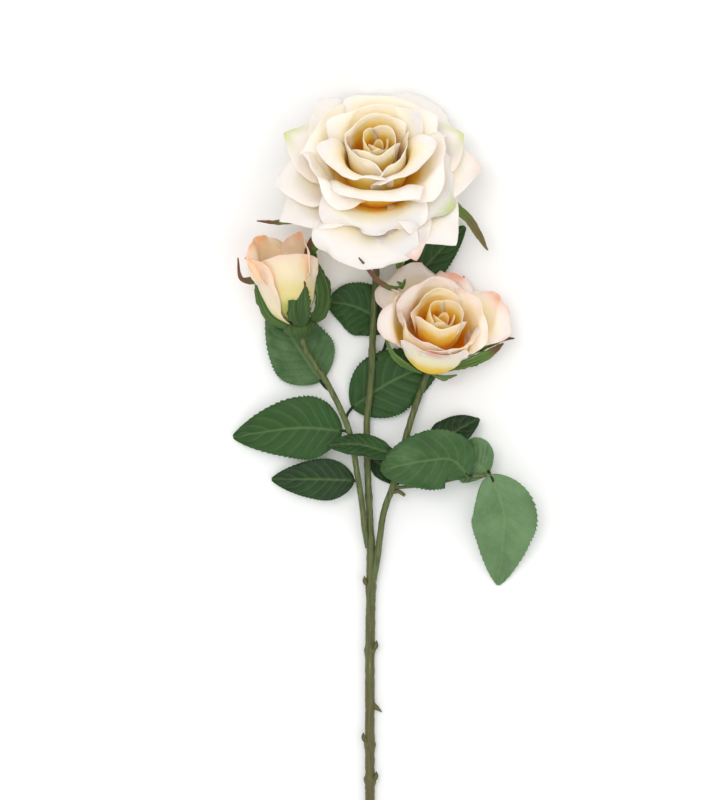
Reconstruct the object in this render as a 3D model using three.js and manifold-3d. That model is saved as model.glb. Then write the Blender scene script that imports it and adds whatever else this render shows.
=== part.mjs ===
// A cut spray rose lying on a table: one woody stem that carries an open rose, a
// half-open side rose and a bud, with their calyxes and twelve leaflets.
// Millimetres. +Y runs along the stem towards the flowers, +Z is up, and the group's
// origin is under the middle of the whole spray, on the surface that it lies on.
import * as THREE from "three";
import Module from "manifold-3d";
import { mergeVertices } from "three/addons/utils/BufferGeometryUtils.js";

// ---- Driving dimensions ------------------------------------------------------------

const STEM_LENGTH_BELOW_FORK = 174; // from the fork to the cut end
const STEM_RADIUS = 2.4; // below the fork
const STALK_RADIUS = 1.7; // the centre stalk, above the fork
const BUD_STALK_RADIUS = 1.5;
const SIDE_STALK_RADIUS = 1.65;
const PETIOLE_RADIUS = 0.75;
const RACHIS_RADIUS = 0.9;
const TWIG_RADIUS = 0.9;
const STUB_RADIUS = 1.1;
const COLLAR_RISE = 0.7; // how far a node's collar stands out from the stem
const COLLAR_LENGTH = 6;
const THORN_LENGTH = 4.5;
const THORN_RADIUS = 1.5;
const PETAL_THICKNESS = 0.7;
const LEAF_THICKNESS = 0.9;
const SEPAL_THICKNESS = 1.0;
const CLEARANCE = 0.3; // between pieces that touch on the real flower
const SKIN_MARGIN = 0.08; // how far a sheet's skin reaches past its edges, per millimetre
const FINEST_DETAIL = 1e-3; // corners closer together than this are one corner

// Each flower: where its petals are attached, how far its axis leans from straight up
// towards the flower end of the spray, its sideways lean, and its size beside the
// millimetres that its petals, hip and sepals are given in.
const OPEN_ROSE = { at: [3.5, 179, 24.5], lean: 34, turn: 0, size: 1 };
const SIDE_ROSE = { at: [31.5, 96, 15], lean: 42, turn: -14, size: 1 };
const BUD = { at: [-36, 113.5, 16.5], lean: 76, turn: 13, size: 1 };

const GREEN = { stem: 0x5a5c34, leaf: 0x2c5527, sepal: 0x3f5f26 };
const CREAM = { open: 0xf3e8d2, side: 0xf4dcb8, bud: 0xecd2a8 };

// ---- Small helpers -----------------------------------------------------------------

const wasm = await Module();
wasm.setup();
const vec = (p) => new THREE.Vector3(...p);
const rad = THREE.MathUtils.degToRad;
const smooth = (x, low, high) => THREE.MathUtils.smoothstep(x, low, high);
const { lerp, clamp } = THREE.MathUtils;
const smoothCurve = (points) => new THREE.CatmullRomCurve3(points.map(vec), false, "centripetal");

// A value that passes through evenly spaced stations on a Catmull-Rom curve, and runs
// straight on past its ends.
function stations(values, q) {
  const last = values.length - 1;
  const x = clamp(q, 0, 1) * last;
  const beyond = q * last - x;
  const i = Math.min(Math.floor(x), last - 1);
  const [a, b] = [values[i], values[i + 1]];
  const before = values[i - 1] ?? 2 * a - b;
  const after = values[i + 2] ?? 2 * b - a;
  const f = x - i;
  const rise = (b - before) / 2;
  const fall = (after - a) / 2;
  return (
    a +
    rise * f +
    (3 * (b - a) - 2 * rise - fall) * f ** 2 +
    (2 * (a - b) + rise + fall) * f ** 3 +
    (b - a) * beyond
  );
}

function meshData(positions, index) {
  const geometry = new THREE.BufferGeometry();
  geometry.setAttribute("position", new THREE.Float32BufferAttribute(positions, 3));
  geometry.setIndex(Array.from(index));
  return geometry;
}

function solidOf(geometry) {
  const bare = geometry.clone();
  bare.deleteAttribute("normal");
  bare.deleteAttribute("uv");
  const merged = mergeVertices(bare, FINEST_DETAIL);
  return new wasm.Manifold(
    new wasm.Mesh({
      numProp: 3,
      vertProperties: merged.attributes.position.array,
      triVerts: new Uint32Array(merged.index.array),
    }),
  );
}

// The volume enclosed by triangles, negative where they face inwards.
function enclosedVolume(positions, index) {
  const [a, b, c] = [new THREE.Vector3(), new THREE.Vector3(), new THREE.Vector3()];
  let total = 0;
  for (let i = 0; i < index.length; i += 3) {
    a.fromArray(positions, index[i] * 3);
    b.fromArray(positions, index[i + 1] * 3);
    c.fromArray(positions, index[i + 2] * 3);
    total += a.dot(b.cross(c)) / 6;
  }
  return total;
}

// The largest separate body of a solid, as a geometry.
function largestBody(solid) {
  const mesh = solid.getMesh();
  const parent = Array.from({ length: mesh.numVert }, (_, i) => i);
  const rootOf = (i) => {
    while (parent[i] !== i) {
      parent[i] = parent[parent[i]];
      i = parent[i];
    }
    return i;
  };
  for (let i = 0; i < mesh.triVerts.length; i += 3) {
    const root = rootOf(mesh.triVerts[i]);
    parent[rootOf(mesh.triVerts[i + 1])] = root;
    parent[rootOf(mesh.triVerts[i + 2])] = root;
  }
  const bodies = new Map();
  for (let i = 0; i < mesh.triVerts.length; i += 3) {
    const root = rootOf(mesh.triVerts[i]);
    if (!bodies.has(root)) bodies.set(root, []);
    bodies.get(root).push(...mesh.triVerts.subarray(i, i + 3));
  }
  const volumeOf = (index) => enclosedVolume(mesh.vertProperties, index);
  const largest = [...bodies.values()].reduce((a, b) => (volumeOf(a) > volumeOf(b) ? a : b));
  const kept = new Map();
  const positions = [];
  const index = largest.map((vertex) => {
    if (!kept.has(vertex)) {
      kept.set(vertex, kept.size);
      positions.push(...mesh.vertProperties.subarray(vertex * 3, vertex * 3 + 3));
    }
    return kept.get(vertex);
  });
  const geometry = meshData(positions, index);
  geometry.computeVertexNormals();
  return geometry;
}

// A closed sheet of even thickness on a surface that maps (along, across) to a point.
function sheetSolid(surface, rows, columns, thickness, extra) {
  const eps = 1e-3;
  const margin = extra * SKIN_MARGIN;
  const middle = [];
  const normals = [];
  for (let i = 0; i <= rows; i++) {
    for (let j = 0; j <= columns; j++) {
      const along = i / rows + (i === rows ? margin : i === 0 ? -margin : 0);
      const even = (2 * j) / columns - 1;
      const side = Math.sign(even) * Math.abs(even) ** 0.8;
      const across = Math.abs(side) === 1 ? side * (1 + margin) : side;
      const du = surface(along + eps, across).sub(surface(along - eps, across));
      const dv = surface(along, across + eps).sub(surface(along, across - eps));
      middle.push(surface(along, across));
      normals.push(du.cross(dv).normalize());
    }
  }
  const positions = [];
  for (const side of [1, -1]) {
    middle.forEach((point, k) => {
      const moved = point.clone().addScaledVector(normals[k], side * (thickness / 2 + extra));
      positions.push(moved.x, moved.y, moved.z);
    });
  }
  const count = middle.length;
  const at = (i, j) => i * (columns + 1) + j;
  const index = [];
  const quad = (a, b, c, d) => index.push(a, b, c, a, c, d);
  for (let i = 0; i < rows; i++) {
    for (let j = 0; j < columns; j++) {
      const corners = [at(i, j), at(i + 1, j), at(i + 1, j + 1), at(i, j + 1)];
      quad(...corners);
      quad(...corners.map((k) => k + count).reverse());
    }
  }
  const rim = [];
  for (let j = 0; j < columns; j++) rim.push(at(0, j));
  for (let i = 0; i < rows; i++) rim.push(at(i, columns));
  for (let j = columns; j > 0; j--) rim.push(at(rows, j));
  for (let i = rows; i > 0; i--) rim.push(at(i, 0));
  rim.forEach((a, k) => {
    const b = rim[(k + 1) % rim.length];
    quad(a, b, b + count, a + count);
  });
  if (enclosedVolume(positions, index) < 0) index.reverse();
  return solidOf(meshData(positions, index));
}

// A round rod along a smooth curve, with a radius that depends on the share travelled.
function rodSolid(points, radiusAt, steps, extra, sides = 8) {
  const curve = smoothCurve(points);
  const frames = curve.computeFrenetFrames(steps, false);
  const positions = [];
  for (let i = 0; i <= steps; i++) {
    const centre = curve.getPointAt(i / steps);
    const radius = radiusAt(i / steps) + extra;
    for (let j = 0; j < sides; j++) {
      const angle = (2 * Math.PI * j) / sides;
      const point = centre
        .clone()
        .addScaledVector(frames.normals[i], radius * Math.cos(angle))
        .addScaledVector(frames.binormals[i], radius * Math.sin(angle));
      positions.push(point.x, point.y, point.z);
    }
  }
  const index = [];
  const at = (i, j) => i * sides + (j % sides);
  for (let i = 0; i < steps; i++) {
    for (let j = 0; j < sides; j++) {
      index.push(at(i, j), at(i, j + 1), at(i + 1, j + 1));
      index.push(at(i, j), at(i + 1, j + 1), at(i + 1, j));
    }
  }
  for (let j = 1; j < sides - 1; j++) {
    index.push(at(0, 0), at(0, j + 1), at(0, j));
    index.push(at(steps, 0), at(steps, j), at(steps, j + 1));
  }
  return solidOf(meshData(positions, index));
}

function meshOf(name, geometry, colour) {
  const material = new THREE.MeshStandardMaterial({
    color: colour,
    roughness: 0.6,
    metalness: 0,
  });
  const mesh = new THREE.Mesh(geometry, material);
  mesh.name = name;
  return mesh;
}

// A flower's frame: its axis leans towards the flower end, then turns about the vertical.
function flowerFrame(place) {
  const lean = new THREE.Euler(-rad(place.lean), 0, rad(place.turn), "ZXY");
  const frame = new THREE.Matrix4().makeRotationFromEuler(lean).setPosition(...place.at);
  return frame.scale(new THREE.Vector3(place.size, place.size, place.size));
}

// ---- Petals ------------------------------------------------------------------------

// How a petal of each kind runs from its foot to its tip, as radius and height in its
// flower's frame (+Z along the flower's axis), at even stations.
const OPEN_PROFILES = {
  wall: [[3, 2], [10, 9], [13, 21], [13.5, 33], [14.5, 43]],
  back: [[4, 2], [13, 8], [17, 20], [20, 31], [24, 38]],
  lip: [[4, 1], [12, 6], [14.5, 17], [16, 28], [22, 30]],
  spread: [[4, 1], [14, 6], [22, 14], [29, 23], [36, 30]],
  half: [[5, 0], [17, 5], [27, 12], [36, 12], [43, 6]],
  open: [[6, -1], [20, 3], [34, 8], [44, 9], [51, 6]],
};
const SIDE_PROFILES = {
  wall: [[2.5, 2], [10, 8], [12.5, 18], [13, 30]],
  lip: [[3.4, 1], [14, 4], [17, 12], [18, 22], [22, 31]],
  open: [[4.4, 0], [17, 5], [26, 13], [32, 20], [38, 25]],
};
const BUD_PROFILES = {
  wall: [[3, 1], [10, 9], [13, 21], [12.5, 34], [12, 44]],
  lip: [[4, 0], [11, 8], [14, 21], [14, 33], [19, 42]],
};

// What a petal's kind gives it, and each petal may set for itself:
//   width     its half-width
//   cup       sideways curvature at the claw and at the rim, 1/mm; positive hugs the axis
//   fold      where its side edges begin to roll back, as a share of the half-width, at
//             mid-length and at the rim; roll is by how many degrees, and tight the
//             distance in which they do most of it
//   twist     how far the petal turns about its own length, in degrees
//   shoulder, sharp   how far the rim falls at its corners, and how suddenly
//   point, skew       how far the rim rises at its middle and falls to one side
//   claw      the foot's half-width as a share of the whole
//   layer     how many layers out it stands
const PETAL_DEFAULTS = {
  cup: [0.05, 0.02],
  fold: [0.75, 0.3],
  roll: 70,
  tight: 10,
  twist: 4,
  shoulder: 0.34,
  sharp: 2.4,
  point: 0.02,
  skew: 0,
  claw: 0.22,
  layer: 0,
};
const OPEN_KINDS = {
  wall: { width: 17, cup: [0.09, 0.065], fold: [0.85, 0.6], roll: 40, tight: 8, shoulder: 0.14 },
  back: { width: 22, cup: [0.07, 0.04], fold: [0.8, 0.4], roll: 50, tight: 10, shoulder: 0.2 },
  lip: { width: 19, cup: [0.08, 0.055], fold: [0.8, 0.5], roll: 45, tight: 10, shoulder: 0.16 },
  spread: { width: 22, cup: [0.06, 0.03], fold: [0.72, 0.35], shoulder: 0.3, sharp: 2 },
  half: { width: 23, cup: [0.05, 0.014], shoulder: 0.38, sharp: 1.8 },
  open: { width: 25, cup: [0.04, 0.004], shoulder: 0.62, sharp: 1.15 },
};
const SIDE_KINDS = {
  wall: { width: 13, cup: [0.12, 0.09], fold: [0.85, 0.6], roll: 40, tight: 8, shoulder: 0.18 },
  lip: { width: 19, cup: [0.075, 0.05], fold: [0.8, 0.4], roll: 50, shoulder: 0.26 },
  open: { width: 22, cup: [0.06, 0.03], fold: [0.7, 0.35], sharp: 2 },
};
const BUD_KINDS = {
  wall: { width: 20, cup: [0.09, 0.062], fold: [0.85, 0.6], roll: 40, tight: 8, shoulder: 0.2 },
  lip: { width: 19, cup: [0.08, 0.045], fold: [0.8, 0.4], shoulder: 0.26 },
};
const PROFILE_END = 1.08; // the share of a petal's length that its last station is at
const SECTION_STEPS = 24;
const LAYER_PITCH = 0.5; // how much further out and lower each layer of petals stands

// A petal of its kind, stretched so that its tip comes to its own radius and height.
function placedPetal(profiles, kinds, own) {
  const petal = { ...PETAL_DEFAULTS, ...kinds[own.kind], ...own };
  const line = profiles[own.kind];
  const last = line.at(-1);
  const tip = own.tip ?? last;
  const step = petal.layer * LAYER_PITCH;
  petal.radii = line.map(([r], i) => {
    const share = i / (line.length - 1);
    return r * (1 + (tip[0] / last[0] - 1) * share) + step;
  });
  petal.heights = line.map(([, z], i) => {
    const share = i / (line.length - 1);
    return z + (tip[1] - last[1]) * share ** 1.3 - step;
  });
  return petal;
}

// The petal's middle surface in its flower's frame.
function petalSurface(petal, frame) {
  const azimuth = rad(petal.azimuth);
  return (along, across) => {
    const side = Math.abs(across);
    const rim =
      1 -
      petal.shoulder * Math.min(side, 1.2) ** petal.sharp -
      petal.skew * across +
      petal.point * Math.exp(-((across / 0.16) ** 2));
    const q = along * rim;
    const ahead = (q + 0.01) / PROFILE_END;
    const behind = (q - 0.01) / PROFILE_END;
    const r = stations(petal.radii, q / PROFILE_END);
    const z = stations(petal.heights, q / PROFILE_END);
    const lean = Math.atan2(
      stations(petal.radii, ahead) - stations(petal.radii, behind),
      stations(petal.heights, ahead) - stations(petal.heights, behind),
    );
    const broad = Math.sin((Math.PI / 2) * clamp(q / 0.6, 0, 1)) ** 1.2;
    const half = petal.width * lerp(petal.claw, 1, broad);
    const curvature = lerp(petal.cup[0], petal.cup[1], smooth(q, 0, 0.9));
    const rollFrom = half * lerp(petal.fold[0], petal.fold[1], clamp((q - 0.45) / 0.5, 0, 1));
    const roll = rad(petal.roll) * smooth(q, 0.2, 0.8);
    // The section across the petal: an arc whose ends turn back past the fold.
    let out = 0;
    let inward = 0;
    for (let k = 0; k < SECTION_STEPS; k++) {
      const x = (side * half * (k + 0.5)) / SECTION_STEPS;
      const past = Math.max(x - rollFrom, 0);
      const angle = curvature * x - roll * (1 - Math.exp(-past / petal.tight));
      out += (Math.cos(angle) * side * half * Math.sign(across)) / SECTION_STEPS;
      inward += (Math.sin(angle) * side * half) / SECTION_STEPS;
    }
    const twist = rad(petal.twist) * smooth(q, 0.1, 1);
    const sideways = out * Math.cos(twist) - inward * Math.sin(twist);
    const depth = out * Math.sin(twist) + inward * Math.cos(twist);
    const radial = r - depth * Math.cos(lean);
    return new THREE.Vector3(
      radial * Math.cos(azimuth) - sideways * Math.sin(azimuth),
      radial * Math.sin(azimuth) + sideways * Math.cos(azimuth),
      z + depth * Math.sin(lean),
    ).applyMatrix4(frame);
  };
}

const OPEN_PETALS = [
  // the cup round the heart
  { kind: "wall", azimuth: 100, layer: 0 },
  { kind: "wall", azimuth: -145, layer: 1, tip: [14.5, 41] },
  { kind: "wall", azimuth: -30, layer: 2, tip: [15, 40] },
  // the petals with thick rolled lips, and those behind them
  { kind: "lip", azimuth: -36, layer: 0, tip: [25, 29], skew: -0.1 },
  { kind: "lip", azimuth: -136, layer: 2, tip: [24, 29.5], width: 21, skew: 0.1 },
  { kind: "back", azimuth: 95, layer: 1, tip: [21, 41], width: 25 },
  { kind: "spread", azimuth: -166, layer: 0, width: 25, skew: 0.05 },
  { kind: "spread", azimuth: 0, layer: 1, tip: [35, 33], width: 25, skew: -0.05 },
  { kind: "lip", azimuth: -98, layer: 6, tip: [26.5, 26], width: 26, cup: [0.06, 0.02], sharp: 3.4 },
  { kind: "back", azimuth: 76, layer: 3, tip: [30, 38], width: 26, cup: [0.06, 0.025] },
  { kind: "back", azimuth: 142, layer: 4, tip: [33, 34], width: 24, cup: [0.06, 0.02] },
  // the half-open petals
  { kind: "half", azimuth: -94, layer: 2.4, tip: [37, 8], width: 28, sharp: 3.4 },
  { kind: "half", azimuth: -28, layer: 1, tip: [43, 5], width: 26 },
  // the open outer petals
  { kind: "open", azimuth: -42, layer: 3, tip: [51, -3] },
  { kind: "open", azimuth: -99, layer: 3, tip: [50, -2], width: 27, sharp: 2.4, shoulder: 0.34 },
  { kind: "open", azimuth: -67, layer: 4.4, tip: [48, 0], width: 19 },
  { kind: "open", azimuth: 8, layer: 2.6, tip: [53, 6] },
  { kind: "open", azimuth: 30, layer: 0.8, tip: [51, 12] },
  { kind: "open", azimuth: 64, layer: 2, tip: [55, 12], sharp: 2.4, shoulder: 0.34 },
  { kind: "open", azimuth: 95, layer: 0.8, tip: [54.5, 8.4], sharp: 2.4, shoulder: 0.34 },
  { kind: "open", azimuth: 121, layer: 2.4, tip: [55, 12] },
  { kind: "open", azimuth: 150, layer: 0.4, tip: [55, 8] },
  { kind: "open", azimuth: -178, layer: 1.8, tip: [52, 5] },
  { kind: "open", azimuth: -155, layer: 3, tip: [53, 1] },
];
const SIDE_PETALS = [
  { kind: "wall", azimuth: 122, layer: 0, tip: [13, 37], width: 16, cup: [0.1, 0.07] },
  { kind: "lip", azimuth: -44, layer: 0, tip: [22, 30], width: 21, cup: [0.08, 0.06], roll: 35 },
  { kind: "lip", azimuth: -128, layer: 1, tip: [21.5, 31], width: 22, cup: [0.08, 0.06], roll: 35 },
  { kind: "lip", azimuth: 36, layer: 1, tip: [20, 36] },
  { kind: "lip", azimuth: 118, layer: 2, tip: [21, 38], width: 20 },
  { kind: "lip", azimuth: -88, layer: 3, tip: [21.5, 26], width: 20, roll: 40 },
  { kind: "open", azimuth: 46, layer: 2, tip: [36, 28], width: 20 },
  { kind: "open", azimuth: 88, layer: 3, tip: [31, 30], width: 17 },
  { kind: "open", azimuth: 124, layer: 1, tip: [39, 29], width: 24 },
  { kind: "open", azimuth: 170, layer: 1.6, tip: [25, 31], width: 18 },
];
const BUD_PETALS = [
  { kind: "lip", azimuth: 145, layer: 0, tip: [15, 46], width: 20 },
  { kind: "wall", azimuth: 20, layer: 1, tip: [11, 45], width: 18 },
  { kind: "wall", azimuth: -98, layer: 2, tip: [12.5, 39] },
  { kind: "lip", azimuth: -172, layer: 3, tip: [19, 40], width: 16, fold: [0.9, 0.75], roll: 40 },
];

// The tightly wrapped heart of a flower, as one closed bud.
const OPEN_HEART = { radius: 10.5, height: 41, foot: 2.5 };
const SIDE_HEART = { radius: 11.5, height: 33, foot: 2 };
const BUD_HEART = { radius: 9, height: 30, foot: 1 };

function heartSolid(heart, place, extra) {
  const skin = extra / place.size;
  const radius = heart.radius + skin;
  const height = heart.height + 2 * skin;
  const foot = heart.foot - skin;
  const profile = [
    [0, foot],
    [radius * 0.45, foot + height * 0.03],
    [radius * 0.85, foot + height * 0.3],
    [radius, foot + height * 0.6],
    [radius * 0.92, foot + height * 0.85],
    [radius * 0.55, foot + height * 0.97],
    [0, foot + height],
  ];
  return turnedSolid(profile, place, 12);
}

// A solid turned round a flower's axis from a closed profile of radii and heights.
function turnedSolid(profile, place, sides) {
  const points = profile.map(([r, z]) => new THREE.Vector2(r, z));
  const lathe = new THREE.LatheGeometry(points, sides);
  lathe.rotateX(Math.PI / 2);
  return solidOf(lathe.applyMatrix4(flowerFrame(place)));
}

// ---- Blades: leaflets and sepals -----------------------------------------------------

// A blade runs along a smooth path; facing is what its upper side looks at, width its
// half-width, widest where along the path it is broadest, fold the angle that each half
// is raised by, curl its sideways curvature, and tip how blunt it ends: 1 is a point.
const BLADE_DEFAULTS = { facing: [0, 0, 1], widest: 0.42, fold: 9, curl: 0.006, tip: 0.8 };

function bladeSurface(own) {
  const blade = { ...BLADE_DEFAULTS, ...own };
  const curve = smoothCurve(blade.path);
  const facing = vec(blade.facing).normalize();
  return (along, across) => {
    const s = clamp(along, 0, 1);
    const ahead = curve.getTangent(s);
    const centre = curve.getPoint(s).addScaledVector(ahead, (along - s) * curve.getLength());
    const sideDirection = new THREE.Vector3().crossVectors(ahead, facing).normalize();
    const up = new THREE.Vector3().crossVectors(sideDirection, ahead);
    const half = blade.width * bladeOutline(s, blade) + PETIOLE_RADIUS;
    const reach = Math.abs(across) * half;
    const [out, rise] = arc(-blade.curl, rad(blade.fold), reach);
    return centre
      .addScaledVector(sideDirection, out * Math.sign(across))
      .addScaledVector(up, rise);
  };
}

// Half-width of an ovate blade, as a share of its largest.
function bladeOutline(s, { widest, tip }) {
  const t = s < widest ? (0.5 * s) / widest : 0.5 + (0.5 * (s - widest)) / (1 - widest);
  const rounded = Math.sin(Math.PI * t);
  return rounded ** (s < widest ? 0.6 : tip);
}

// Where an arc of that curvature gets to from a starting angle: sideways and inwards.
function arc(curvature, start, length) {
  const end = start + curvature * length;
  return [
    (Math.sin(end) - Math.sin(start)) / curvature,
    (Math.cos(start) - Math.cos(end)) / curvature,
  ];
}

// ---- Calyxes -------------------------------------------------------------------------

// The hip under a flower, as radius and height from where the petals are attached.
const OPEN_HIP = [[0, -16], [2.4, -16], [4.6, -13], [6.2, -8.5], [6, -4.5], [4.8, -2.2], [0, -2.2]];
const SIDE_HIP = OPEN_HIP.map(([r, z]) => [r * 0.8, z * 0.75]);
const BUD_HIP = OPEN_HIP.map(([r, z]) => [r * 1.3, z * 0.62]);

// Each sepal's path is given from where its flower's petals are attached.
const OPEN_SEPALS = [
  {
    path: [[-3.5, -7, -2.5], [-25.5, -11, -3.5], [-47.5, -17.5, -5.5], [-60, -17, -3.5]],
    facing: [0, 0.2, 1],
    width: 2.4,
  },
  {
    path: [[5.5, -12, -6.5], [11, -34, -14], [11.5, -49, -7], [3, -49, 9], [-9, -37, 30]],
    facing: [-0.2, -0.5, 0.8],
    width: 2.4,
    widest: 0.7,
  },
  {
    path: [[2.5, -5, -4.5], [24.5, -5, -3.5], [42.5, -13, -3.5], [55.5, -31.5, -6.5]],
    facing: [0.3, 0.2, 1],
    width: 3.4,
    widest: 0.8,
  },
  {
    path: [[-3.5, -1, -9.5], [-19.5, 13, -16.5], [-31.5, 27, -18.5]],
    facing: [0, -0.5, 1],
    width: 3,
  },
  {
    path: [[4.5, 0, -10.5], [16.5, 13, -16.5], [26.5, 29, -19.5]],
    facing: [0, -0.5, 1],
    width: 3,
  },
];

const SIDE_SEPALS = [
  {
    path: [[-5.5, -10, -5], [-13, -6, 0], [-20, 0, 4], [-24, 8, 6]],
    facing: [-0.9, -0.6, 0.5],
    width: 5,
  },
  {
    path: [[-2.5, -9, -6], [4, -12, 0], [12, -11, 4]],
    facing: [0.3, -0.9, 0.6],
    width: 4.5,
  },
  {
    path: [[0.5, -9, -6], [17.5, -5, -3], [28.5, 0, -3], [35.5, 5, -1]],
    facing: [0, -0.3, 1],
    width: 2.8,
    widest: 0.7,
  },
  {
    path: [[2.5, -6, -7], [20.5, 2, -7], [34.5, 7, -7], [41, 7.5, -3]],
    facing: [0, 0, 1],
    width: 2.6,
  },
  {
    path: [[-0.5, -2, -7], [8, 19, -9], [16, 39, -10]],
    facing: [0, 0, 1],
    width: 3,
  },
];

const BUD_SEPALS = [
  {
    path: [[-3, -5.5, 1.5], [-14, 2, 2.5], [-18.5, 12, 3.5], [-19.5, 18, 4.5], [-28, 19.5, 5.5], [-30, 30, 5.5]],
    facing: [-0.6, 0, 0.8],
    width: 3.6,
    widest: 0.24,
  },
  {
    path: [[2, -4, 7.5], [1, 3, 13.5], [1.5, 10.5, 15.5], [2, 16.5, 16], [-3.5, 21, 17.5]],
    facing: [0, -0.3, 1],
    width: 5.6,
    widest: 0.22,
  },
  {
    path: [[6, -3.5, -0.5], [11.5, 4.5, 2.5], [12, 14.5, 4.5], [6, 28.5, 6.5], [4.6, 33.5, 6.5], [9, 44, 7.5]],
    facing: [0.6, 0, 0.8],
    width: 5,
    widest: 0.3,
  },
  {
    path: [[2, -2.5, -8.5], [8, 20, -8.5], [7, 34.5, 3.5], [19, 42, 5.5]],
    width: 3.4,
    widest: 0.8,
  },
];

function sepalOf(place, sepal) {
  const path = sepal.path.map((p) => p.map((value, axis) => place.at[axis] + value * place.size));
  return { ...sepal, path, width: sepal.width * place.size };
}

function calyxSolid(place, hip, sepals, extra) {
  const skin = extra / place.size;
  const profile = hip.map(([r, z]) => [r && r + skin, z]);
  let body = turnedSolid(profile, place, 10);
  for (const sepal of sepals) {
    const surface = bladeSurface(sepalOf(place, sepal));
    body = body.add(sheetSolid(surface, 7, 2, SEPAL_THICKNESS, extra));
  }
  return body;
}

// ---- Stems --------------------------------------------------------------------------

const STALK_INSIDE_HIP = 1; // how far a stalk's path runs on into its hip

// A point on a flower's axis, that far above where its petals are attached.
function onAxis(place, height) {
  return new THREE.Vector3(0, 0, height).applyMatrix4(flowerFrame(place)).toArray();
}

// The last points of the stalk that carries a flower: it meets the hip along the axis.
function intoHip(place, hip, run) {
  const foot = hip[0][1];
  return [onAxis(place, foot - run), onAxis(place, foot + STALK_INSIDE_HIP)];
}

const STEM_PATH = [
  [0.5, -STEM_LENGTH_BELOW_FORK, STEM_RADIUS],
  [0, -120, 3.2],
  [0, -60, 3.6],
  [0.5, 0, 4.5],
  [-1, 32, 5.5],
  [-1.5, 62, 6],
  [0.5, 82, 6.5],
  [1.5, 107, 7],
  [3, 135, 6.5],
  [3.3, 154, 5.5],
  ...intoHip(OPEN_ROSE, OPEN_HIP, 4),
];
const BUD_STALK_PATH = [
  [-1, -2, 4.5],
  [-2.6, 7, 6.5],
  [-4, 20, 8.5],
  [-6.5, 36, 10],
  [-10.5, 57, 12],
  [-21.5, 81, 13],
  ...intoHip(BUD, BUD_HIP, 6),
];
const SIDE_STALK_PATH = [
  [1.5, -20, 4.5],
  [3.6, -8, 6],
  [7, 16, 8.5],
  [11.5, 29, 9],
  [15, 42, 9],
  [20.5, 62, 8],
  ...intoHip(SIDE_ROSE, SIDE_HIP, 1.5),
];

// The first point where a smooth path reaches a value on one axis.
function onPath(points, axis, value) {
  const curve = smoothCurve(points);
  const steps = 400;
  for (let i = 1; i <= steps; i++) {
    const point = curve.getPoint(i / steps).toArray();
    if (point[axis] >= value) return point;
  }
  return curve.getPoint(1).toArray();
}

// The stalk that carries the three right-hand leaflets.
const RACHIS_PATH = [onPath(SIDE_STALK_PATH, 1, 28), [30, 30, 11], [48, 34, 13], [60.5, 34.8, 13.6]];

// A bare twig beside the bud's stalk.
const TWIG_PATH = [onPath(BUD_STALK_PATH, 1, 79), [-26, 88, 9.5], [-35.5, 99.5, 7]];

// What is left of a cut twig on the side rose's stalk.
const STUB_PATH = [onPath(SIDE_STALK_PATH, 1, 26), [14.6, 26.4, 10], [17.6, 24.4, 10]];

const COLLAR_HEIGHTS = [-119, -101, -53.5, -21.5]; // where the stem has a node
const THORN_HEIGHT = -84;

const stemRadius = (s) => lerp(STEM_RADIUS, STALK_RADIUS, smooth(s, 0.5, 0.53));

// A swelling round the stem at a node.
function collarSolid(height, extra) {
  const low = onPath(STEM_PATH, 1, height - COLLAR_LENGTH / 2);
  const high = onPath(STEM_PATH, 1, height + COLLAR_LENGTH / 2);
  const middle = low.map((value, axis) => (value + high[axis]) / 2);
  const radius = (s) => STEM_RADIUS - COLLAR_RISE / 2 + 1.5 * COLLAR_RISE * Math.sin(Math.PI * s);
  return rodSolid([low, middle, high], radius, 4, extra);
}

// A thorn that points out of the stem's right side and back down it.
function thornSolid(extra) {
  const thorn = new THREE.ConeGeometry(THORN_RADIUS + extra, THORN_LENGTH + STEM_RADIUS, 6);
  thorn.translate(0, (THORN_LENGTH + STEM_RADIUS) / 2, 0);
  thorn.rotateZ(rad(-115));
  return solidOf(thorn.translate(...onPath(STEM_PATH, 1, THORN_HEIGHT)));
}

function stemSolid(extra) {
  let body = rodSolid(STEM_PATH, stemRadius, 30, extra);
  for (const height of COLLAR_HEIGHTS) body = body.add(collarSolid(height, extra));
  return body.add(thornSolid(extra));
}

function budStalkSolid(extra) {
  const twig = rodSolid(TWIG_PATH, () => TWIG_RADIUS, 6, extra, 6);
  return rodSolid(BUD_STALK_PATH, () => BUD_STALK_RADIUS, 14, extra).add(twig);
}

function sideStalkSolid(extra) {
  const stub = rodSolid(STUB_PATH, () => STUB_RADIUS, 4, extra, 6);
  return rodSolid(SIDE_STALK_PATH, () => SIDE_STALK_RADIUS, 14, extra).add(stub);
}

// ---- Leaves -------------------------------------------------------------------------

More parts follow.
